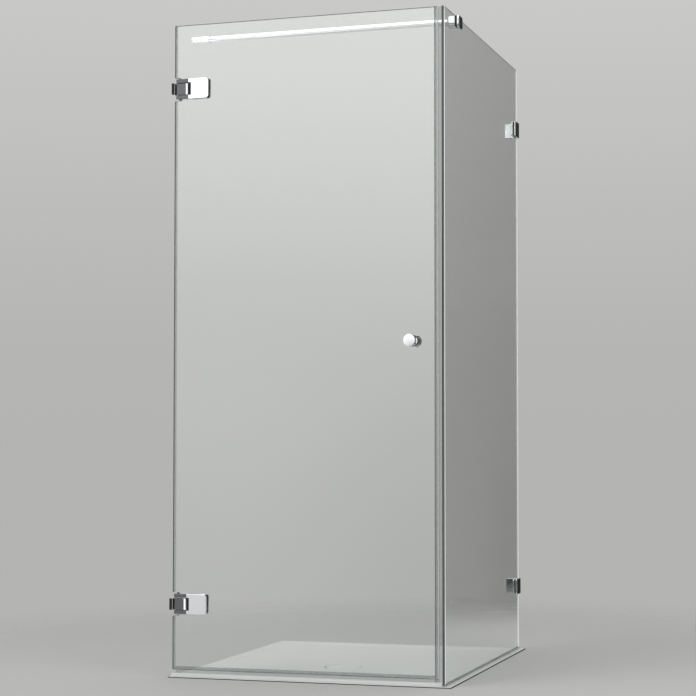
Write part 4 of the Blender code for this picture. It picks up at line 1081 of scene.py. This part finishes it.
class SHOWER_OT_clamps(bpy.types.Operator):
    """Cast, bevel and polish the wall clamps of the side panel"""

    bl_idname = "shower.clamps"
    bl_label = "Wall clamps"
    bl_options = {"REGISTER", "UNDO"}

    def execute(self, context):
        sizes = context.scene.shower_sizes
        edge, corner = sizes.clamp_edge, sizes.clamp_corner
        heel, cheek = TIP * edge, 0.8 * corner
        flange, thickness, overlap = 0.009, 0.006, 0.0045
        for level in LEVELS:
            node = f"wall_clamp_bracket_{level}"
            low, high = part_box(node)
            start = (low.x, high.y - flange, low.z)
            parts = [slab(start, high, "Y", [corner, heel, heel, corner], edge)]
            start, end = (high.x - thickness, low.y, low.z), (high.x, high.y - overlap, high.z)
            parts.append(slab(start, end, "X", [cheek, heel, heel, cheek], edge))
            chromed(f"{node}_polished", parts, "frame", node)
            node = f"wall_clamp_cheek_{level}"
            parts = [slab(*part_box(node), "X", cheek, edge)]
            chromed(f"{node}_polished", parts, "frame", node)
        return {"FINISHED"}


class SHOWER_OT_stabiliser(bpy.types.Operator):
    """Turn the stabiliser bar, its wall holder and its sleeve, and bevel its glass clamp"""

    bl_idname = "shower.stabiliser"
    bl_label = "Stabiliser"
    bl_options = {"REGISTER", "UNDO"}

    def execute(self, context):
        sizes = context.scene.shower_sizes
        edge = sizes.turned_edge
        low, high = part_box("stabiliser_bar")
        radius = (high.y - low.y) / 2
        at = (0, (low.y + high.y) / 2, (low.z + high.z) / 2)

        def turned(node, corners, radii, steps, loop=False):
            parts = [revolved(fillet(corners, radii, steps), at, (1, 0, 0), 64, loop)]
            chromed(f"{node}_turned", parts, "frame", node)

        corners = [(0, low.x), (radius, low.x), (radius, high.x), (0, high.x)]
        turned("stabiliser_bar", corners, [0, edge / 2, edge / 2, 0], 4)

        low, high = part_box("bar_wall_holder")
        foot = (high.y - low.y) / 2
        barrel, bore = foot - 0.0013, radius + SEAT_GAP
        step, floor = low.x + 0.004, high.x - 0.022
        depth, half_width = 0.0012, 0.0011  # of the groove round it
        inside, middle = barrel - depth, (step + high.x) / 2
        start, end = middle - half_width, middle + half_width
        corners = [
            (0, low.x), (foot, low.x), (foot, step), (barrel, step),
            (barrel, start), (inside, start), (inside, end), (barrel, end),
            (barrel, high.x), (bore, high.x), (bore, floor), (0, floor),
        ]
        radii = [0, FINEST, 2 * FINE, FINER, FINER, FINEST, FINEST, FINER, edge, FINER, 0, 0]
        turned("bar_wall_holder", corners, radii, 5)

        low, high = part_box("bar_sleeve")
        outer = (high.y - low.y) / 2
        corners = [(bore, low.x), (outer, low.x), (outer, high.x), (bore, high.x)]
        turned("bar_sleeve", corners, [FINEST, FINE, edge, FINEST], 5, loop=True)

        corner = sizes.block_corner
        rims = {"bar_clamp_block": (sizes.block_edge, 2 * FINE), "bar_clamp_cheek": 4 * FINE}
        for node, rim in rims.items():
            radii = [sizes.block_foot, corner, corner, corner]
            parts = [slab(*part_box(node), "X", radii, rim, 9, 9)]
            chromed(f"{node}_polished", parts, "frame", node)
        return {"FINISHED"}


class SHOWER_OT_knobs(bpy.types.Operator):
    """Turn the two knobs from one profile, with a crowned face and a waist"""

    bl_idname = "shower.knobs"
    bl_label = "Knobs"
    bl_options = {"REGISTER", "UNDO"}

    def execute(self, context):
        sizes = context.scene.shower_sizes
        for side, sign in (("outer", -1), ("inner", 1)):
            node = f"knob_{side}"
            low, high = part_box(node)
            radius = (high.x - low.x) / 2
            foot_y = high.y if sign < 0 else low.y
            at = ((low.x + high.x) / 2, foot_y, (low.z + high.z) / 2)
            profile = self.profile(sizes, radius, high.y - low.y - sizes.knob_crown)
            parts = [revolved(profile, at, (0, sign, 0), 128, loop=True)]
            chromed(f"{node}_turned", parts, "door", node, crease=30)
        dress("seal", "knob_washer_outer", "knob_washer_inner")
        return {"FINISHED"}

    def profile(self, sizes, radius, end):
        """From the foot over the waist, the grooved side and the crown down into the bore."""
        bore, depth = 0.0033, 0.014
        foot, foot_height, chamfer = 0.0175, 0.0055, 0.0018
        waist, neck, neck_edge = 0.0145, 0.010, 0.0005
        back, middle = radius - sizes.knob_taper, radius - sizes.knob_taper / 2
        ring, groove = (neck + end) / 2, 0.0007
        corners = [
            (bore, 0), (foot, 0), (foot, foot_height - chamfer), (foot - chamfer, foot_height),
            (waist, foot_height), (waist, neck), (back, neck), (middle, ring - groove),
            (middle - groove, ring), (middle, ring + groove), (radius, end), (bore, end),
        ]
        radii = [0, FINE, FINEST, FINEST, FINER, FINER, neck_edge]
        radii += [FINEST, FINEST, FINEST, sizes.knob_rim, 0]
        side = fillet(corners, radii, 8)[:-1]
        crown = crowned(radius - sizes.knob_rim, end, sizes.knob_crown, 16)
        return np.concatenate([side, crown, [(0, depth), (bore, depth)]])


class SHOWER_OT_fasteners(bpy.types.Operator):
    """Finish the screws, pins, stud, bushes and gaskets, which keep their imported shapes"""

    bl_idname = "shower.fasteners"
    bl_label = "Fasteners and gaskets"
    bl_options = {"REGISTER", "UNDO"}

    def execute(self, context):
        kinds = {"gasket": {"gasket"}, "steel": {"screw", "pin", "stud"}, "nylon": {"bush"}}
        for finish, words in kinds.items():
            dress(finish, *(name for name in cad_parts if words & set(name.split("_"))))
        return {"FINISHED"}


# Studio

JOINT_DEPTH = 0.0006  # how far the joint lies below the tray's rim where it meets the tray
LAMPS_AIM = (0, 0, 0.9)
LAMPS = {  # the place of each lamp and its width
    "key": ((-2.6, -3.4, 3.4), 2.6),
    "fill": ((0.6, 0.2, 4.2), 2.2),
    "side": ((3.4, -2.0, 2.0), 1.8),
}
CAMERA_PLACE = (1.7860, -4.9337, 0.7562)
CAMERA_TURN = (15.154, 2.090, -0.153)  # degrees to the left, upwards and round its own axis
CAMERA_SHIFT = (-0.2040, 0.0460)
SENSOR = 36  # width in millimetres


def plane(name, material, outer, inner, height):
    """A square with a square opening, as two rings of corners, each at its own height."""
    square = np.array(rectangle((-1, -1), (1, 1)), float)
    rings = np.stack([square * outer, square * inner])
    heights = np.broadcast_to(height, 2)[:, None, None] + np.zeros((2, 4, 1))
    points = np.concatenate([rings, heights], 2).reshape(-1, 3)
    first, second = np.arange(8).reshape(2, 4)
    faces = np.stack([first, np.roll(first, -1), np.roll(second, -1), second], 1)
    mesh = bpy.data.meshes.new(name)
    mesh.from_pydata(points.tolist(), [], faces.tolist())
    mesh.materials.append(material)
    made = bpy.data.objects.new(name, mesh)
    bpy.context.scene.collection.objects.link(made)


class SHOWER_OT_studio(bpy.types.Operator):
    """Lay the floor, light the piece evenly and stand the camera where the photograph was taken"""

    bl_idname = "shower.studio"
    bl_label = "Studio"
    bl_options = {"REGISTER", "UNDO"}

    def execute(self, context):
        studio = context.scene.shower_studio
        context.scene.view_settings.view_transform = "Standard"
        self.floor(studio)
        self.world(context.scene, studio)
        self.lamps(context.scene, studio)
        self.camera(context.scene, studio)
        return {"FINISHED"}

    def floor(self, studio):
        """A matt floor that gives way to the world with distance, with an opening for the tray."""
        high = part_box("shower_tray")[1]
        height = high.z - studio.floor_drop
        reach = high.x + studio.joint_gap
        made = surface("plain matt floor", studio.floor, 0.7, Specular_IOR_Level=0.1)
        tree = made.node_tree
        coordinates = add(tree, "TexCoord").outputs["Object"]
        distance = add(tree, "VectorMath", {"operation": "LENGTH", 0: coordinates}).outputs["Value"]
        values = {"From Min": studio.fade_start, "From Max": studio.fade_end, "Value": distance}
        values["interpolation_type"] = "SMOOTHSTEP"
        blended(made, add(tree, "MapRange", values).outputs["Result"])
        plane("floor", made, studio.floor_reach, reach, height)
        # a dark joint sheet in the opening, partly a joint and partly painted shade of the gap
        made = surface("dark joint", studio.joint, 0.6)
        plane("joint", made, reach, high.x + SEAT_GAP, (height, high.z - JOINT_DEPTH))

    def world(self, scene, studio):
        """Even light for matt surfaces, the backdrop for the camera, and a studio for mirrors."""
        scene.world = scene.world or bpy.data.worlds.new("studio")
        scene.world.use_nodes = True
        tree = scene.world.node_tree
        tree.nodes.clear()
        direction = add(tree, "TexCoord").outputs["Generated"]
        axes = add(tree, "SeparateXYZ", {0: direction}).outputs

        def patch(strength, *steps):
            """A strength times a soft step, between a start and an end, for each of these axes."""
            shares = []
            for axis, start, end in steps:
                step = {"interpolation_type": "SMOOTHSTEP", "From Min": start, "From Max": end}
                step["Value"] = axes[axis]
                shares.append(add(tree, "MapRange", step).outputs["Result"])
            return together(tree, "MULTIPLY", *shares, strength)

        backdrop = {"data_type": "RGBA", 0: patch(1.0, ("Z", 0.0, 0.35))}
        backdrop |= {6: (*studio.horizon, 1), 7: (*studio.backdrop, 1)}
        backdrop = add(tree, "Mix", backdrop).outputs[2]
        panorama = self.panorama(tree, studio, patch)
        path = add(tree, "LightPath").outputs
        reflected = together(tree, "MINIMUM", path["Glossy Depth"], 1.0)
        seen = together(tree, "MAXIMUM", path["Is Camera Ray"], path["Is Transmission Ray"])
        white = (1, 1, 1, 1)
        lights = ((white, studio.world_light), (backdrop, 1.0), (white, panorama))
        even, shown, mirrored = (
            add(tree, "Background", {"Color": tone, "Strength": strength}).outputs["Background"]
            for tone, strength in lights
        )
        direct = add(tree, "MixShader", {0: seen, 1: even, 2: shown}).outputs["Shader"]
        mixed = add(tree, "MixShader", {0: reflected, 1: direct, 2: mirrored}).outputs["Shader"]
        add(tree, "OutputWorld", {"Surface": mixed})

    def panorama(self, tree, studio, patch):
        """The level of light that a mirror meets in a direction (x, y, z).

        It is grey * (1 - shade) + sides + lamp * (1 - under). The lamp is a tall soft light behind
        the camera to its left, a band of x that reaches over the piece, with weaker light below it.
        Dark screens stand on both sides of it and at the back right, lights at the far left, at the
        far right and low behind the piece, and the rest is grey, darker towards its foot.
        """
        band = patch(1.0, ("X", -0.478, -0.456), ("X", -0.215, -0.240), ("Y", 0.75, 0.45))
        beside, beneath = patch(1.0, ("X", -0.430, -0.422)), patch(1.0, ("Z", 0.46, 0.36))
        notch = together(tree, "MAXIMUM", beside, beneath)
        tall = patch(studio.band_light, ("Z", -0.12, 0.26))
        low = patch(0.58, ("X", -0.28, -0.42), ("Z", 0.1, 0.0))
        foot = patch(0.7, ("Z", -0.18, -0.34))
        under = patch(
            0.85,
            ("X", -0.267, -0.255), ("X", -0.10, -0.18), ("Z", 0.02, -0.04), ("Z", -0.30, -0.20),
        )
        screens = (
            patch(0.48, ("X", -0.474, -0.490), ("X", -0.95, -0.85), ("Y", 0.2, 0.0)),
            patch(0.92, ("X", -0.474, -0.484), ("X", -0.54, -0.52), ("Y", 0.2, 0.0)),
            patch(0.90, ("X", -0.230, -0.200), ("X", 1.20, 1.10), ("Y", 0.2, 0.0)),
            patch(0.92, ("X", -0.12, -0.02), ("X", 1.20, 1.10), ("Y", 0.0, 0.2)),
        )
        right = patch(1.6, ("X", 0.74, 0.80), ("Y", -0.02, -0.14))
        left = patch(0.9, ("X", -0.88, -0.95))
        above = patch(0.2, ("Z", 0.075, 0.090), ("Z", 0.130, 0.115))
        below = patch(0.35, ("Z", -0.14, -0.18))
        back = patch(0.9, ("X", 0.0, -0.15), ("Y", 0.10, 0.35))

        def less(level):
            return together(tree, "SUBTRACT", 1.0, level)

        lamp = together(tree, "ADD", tall, low, foot)
        lamp = together(tree, "MULTIPLY", band, notch, lamp, less(under))
        shade = together(tree, "MAXIMUM", *screens, under)
        grey = together(tree, "ADD", patch(0.43, ("Z", -0.2, 0.7)), 0.32)
        grey = together(tree, "MULTIPLY", grey, less(shade))
        behind = together(tree, "MULTIPLY", together(tree, "ADD", above, below), back)
        sides = together(tree, "MAXIMUM", together(tree, "ADD", right, left), behind)
        return together(tree, "ADD", grey, sides, lamp)

    def lamps(self, scene, studio):
        """Three soft lamps that aim at the piece and show in no mirror."""
        for kind, (place, width) in LAMPS.items():
            lamp = bpy.data.lights.new(f"{kind}_lamp", "AREA")
            lamp.size = width
            lamp.energy = getattr(studio, f"{kind}_power")
            made = bpy.data.objects.new(f"{kind}_lamp", lamp)
            made.location = place
            aim = Vector(LAMPS_AIM) - Vector(place)
            made.rotation_euler = aim.to_track_quat("-Z", "Y").to_euler()
            made.visible_glossy = False
            made.visible_transmission = False
            scene.collection.objects.link(made)

    def camera(self, scene, studio):
        """Stands where both panes' and the tray's corners fall where the photograph has them."""
        yaw, pitch, roll = (math.radians(angle) for angle in CAMERA_TURN)
        level = math.cos(pitch)
        ahead = Vector((-math.sin(yaw) * level, math.cos(yaw) * level, math.sin(pitch)))
        right = Vector((math.cos(yaw), math.sin(yaw), 0))
        up = right.cross(ahead)
        right, up = (
            right * math.cos(roll) + up * math.sin(roll),
            up * math.cos(roll) - right * math.sin(roll),
        )
        data = bpy.data.cameras.new("camera")
        data.sensor_width = SENSOR
        data.lens = studio.lens
        data.shift_x, data.shift_y = CAMERA_SHIFT
        made = bpy.data.objects.new("camera", data)
        turned = Matrix((right, up, -ahead)).transposed()
        made.matrix_world = Matrix.Translation(CAMERA_PLACE) @ turned.to_4x4()
        scene.collection.objects.link(made)
        scene.camera = made


# Add-on


OPERATORS = (
    SHOWER_OT_tray,
    SHOWER_OT_waste,
    SHOWER_OT_glass,
    SHOWER_OT_seals,
    SHOWER_OT_hinges,
    SHOWER_OT_clamps,
    SHOWER_OT_stabiliser,
    SHOWER_OT_knobs,
    SHOWER_OT_fasteners,
    SHOWER_OT_studio,
)


class SHOWER_PT_sidebar(bpy.types.Panel):
    """The enclosure's pieces and their values"""

    bl_idname = "SHOWER_PT_sidebar"
    bl_label = "Corner shower"
    bl_space_type = "VIEW_3D"
    bl_region_type = "UI"
    bl_category = "Shower"

    def draw(self, context):
        column = self.layout.column(align=True)
        for operator in OPERATORS:
            column.operator(operator.bl_idname)
        for name in GROUPS:
            group = getattr(context.scene, name)
            column = self.layout.column()
            for value in group.bl_rna.properties.keys():
                if value not in {"rna_type", "name"}:
                    column.prop(group, value)


GROUPS = {"shower_sizes": ShowerSizes, "shower_finish": ShowerFinish, "shower_studio": ShowerStudio}


def register():
    for item in (*GROUPS.values(), *OPERATORS, SHOWER_PT_sidebar):
        bpy.utils.register_class(item)
    for name, group in GROUPS.items():
        setattr(bpy.types.Scene, name, bpy.props.PointerProperty(type=group))


def unregister():
    for name in GROUPS:
        delattr(bpy.types.Scene, name)
    for item in (SHOWER_PT_sidebar, *reversed(OPERATORS), *GROUPS.values()):
        bpy.utils.unregister_class(item)


def main():
    """Makes every piece and the studio."""
    register()
    bpy.ops.shower.tray()
    bpy.ops.shower.waste()
    bpy.ops.shower.glass()
    bpy.ops.shower.seals()
    bpy.ops.shower.hinges()
    bpy.ops.shower.clamps()
    bpy.ops.shower.stabiliser()
    bpy.ops.shower.knobs()
    bpy.ops.shower.fasteners()
    bpy.ops.shower.studio()


if __name__ == "__main__":
    main()
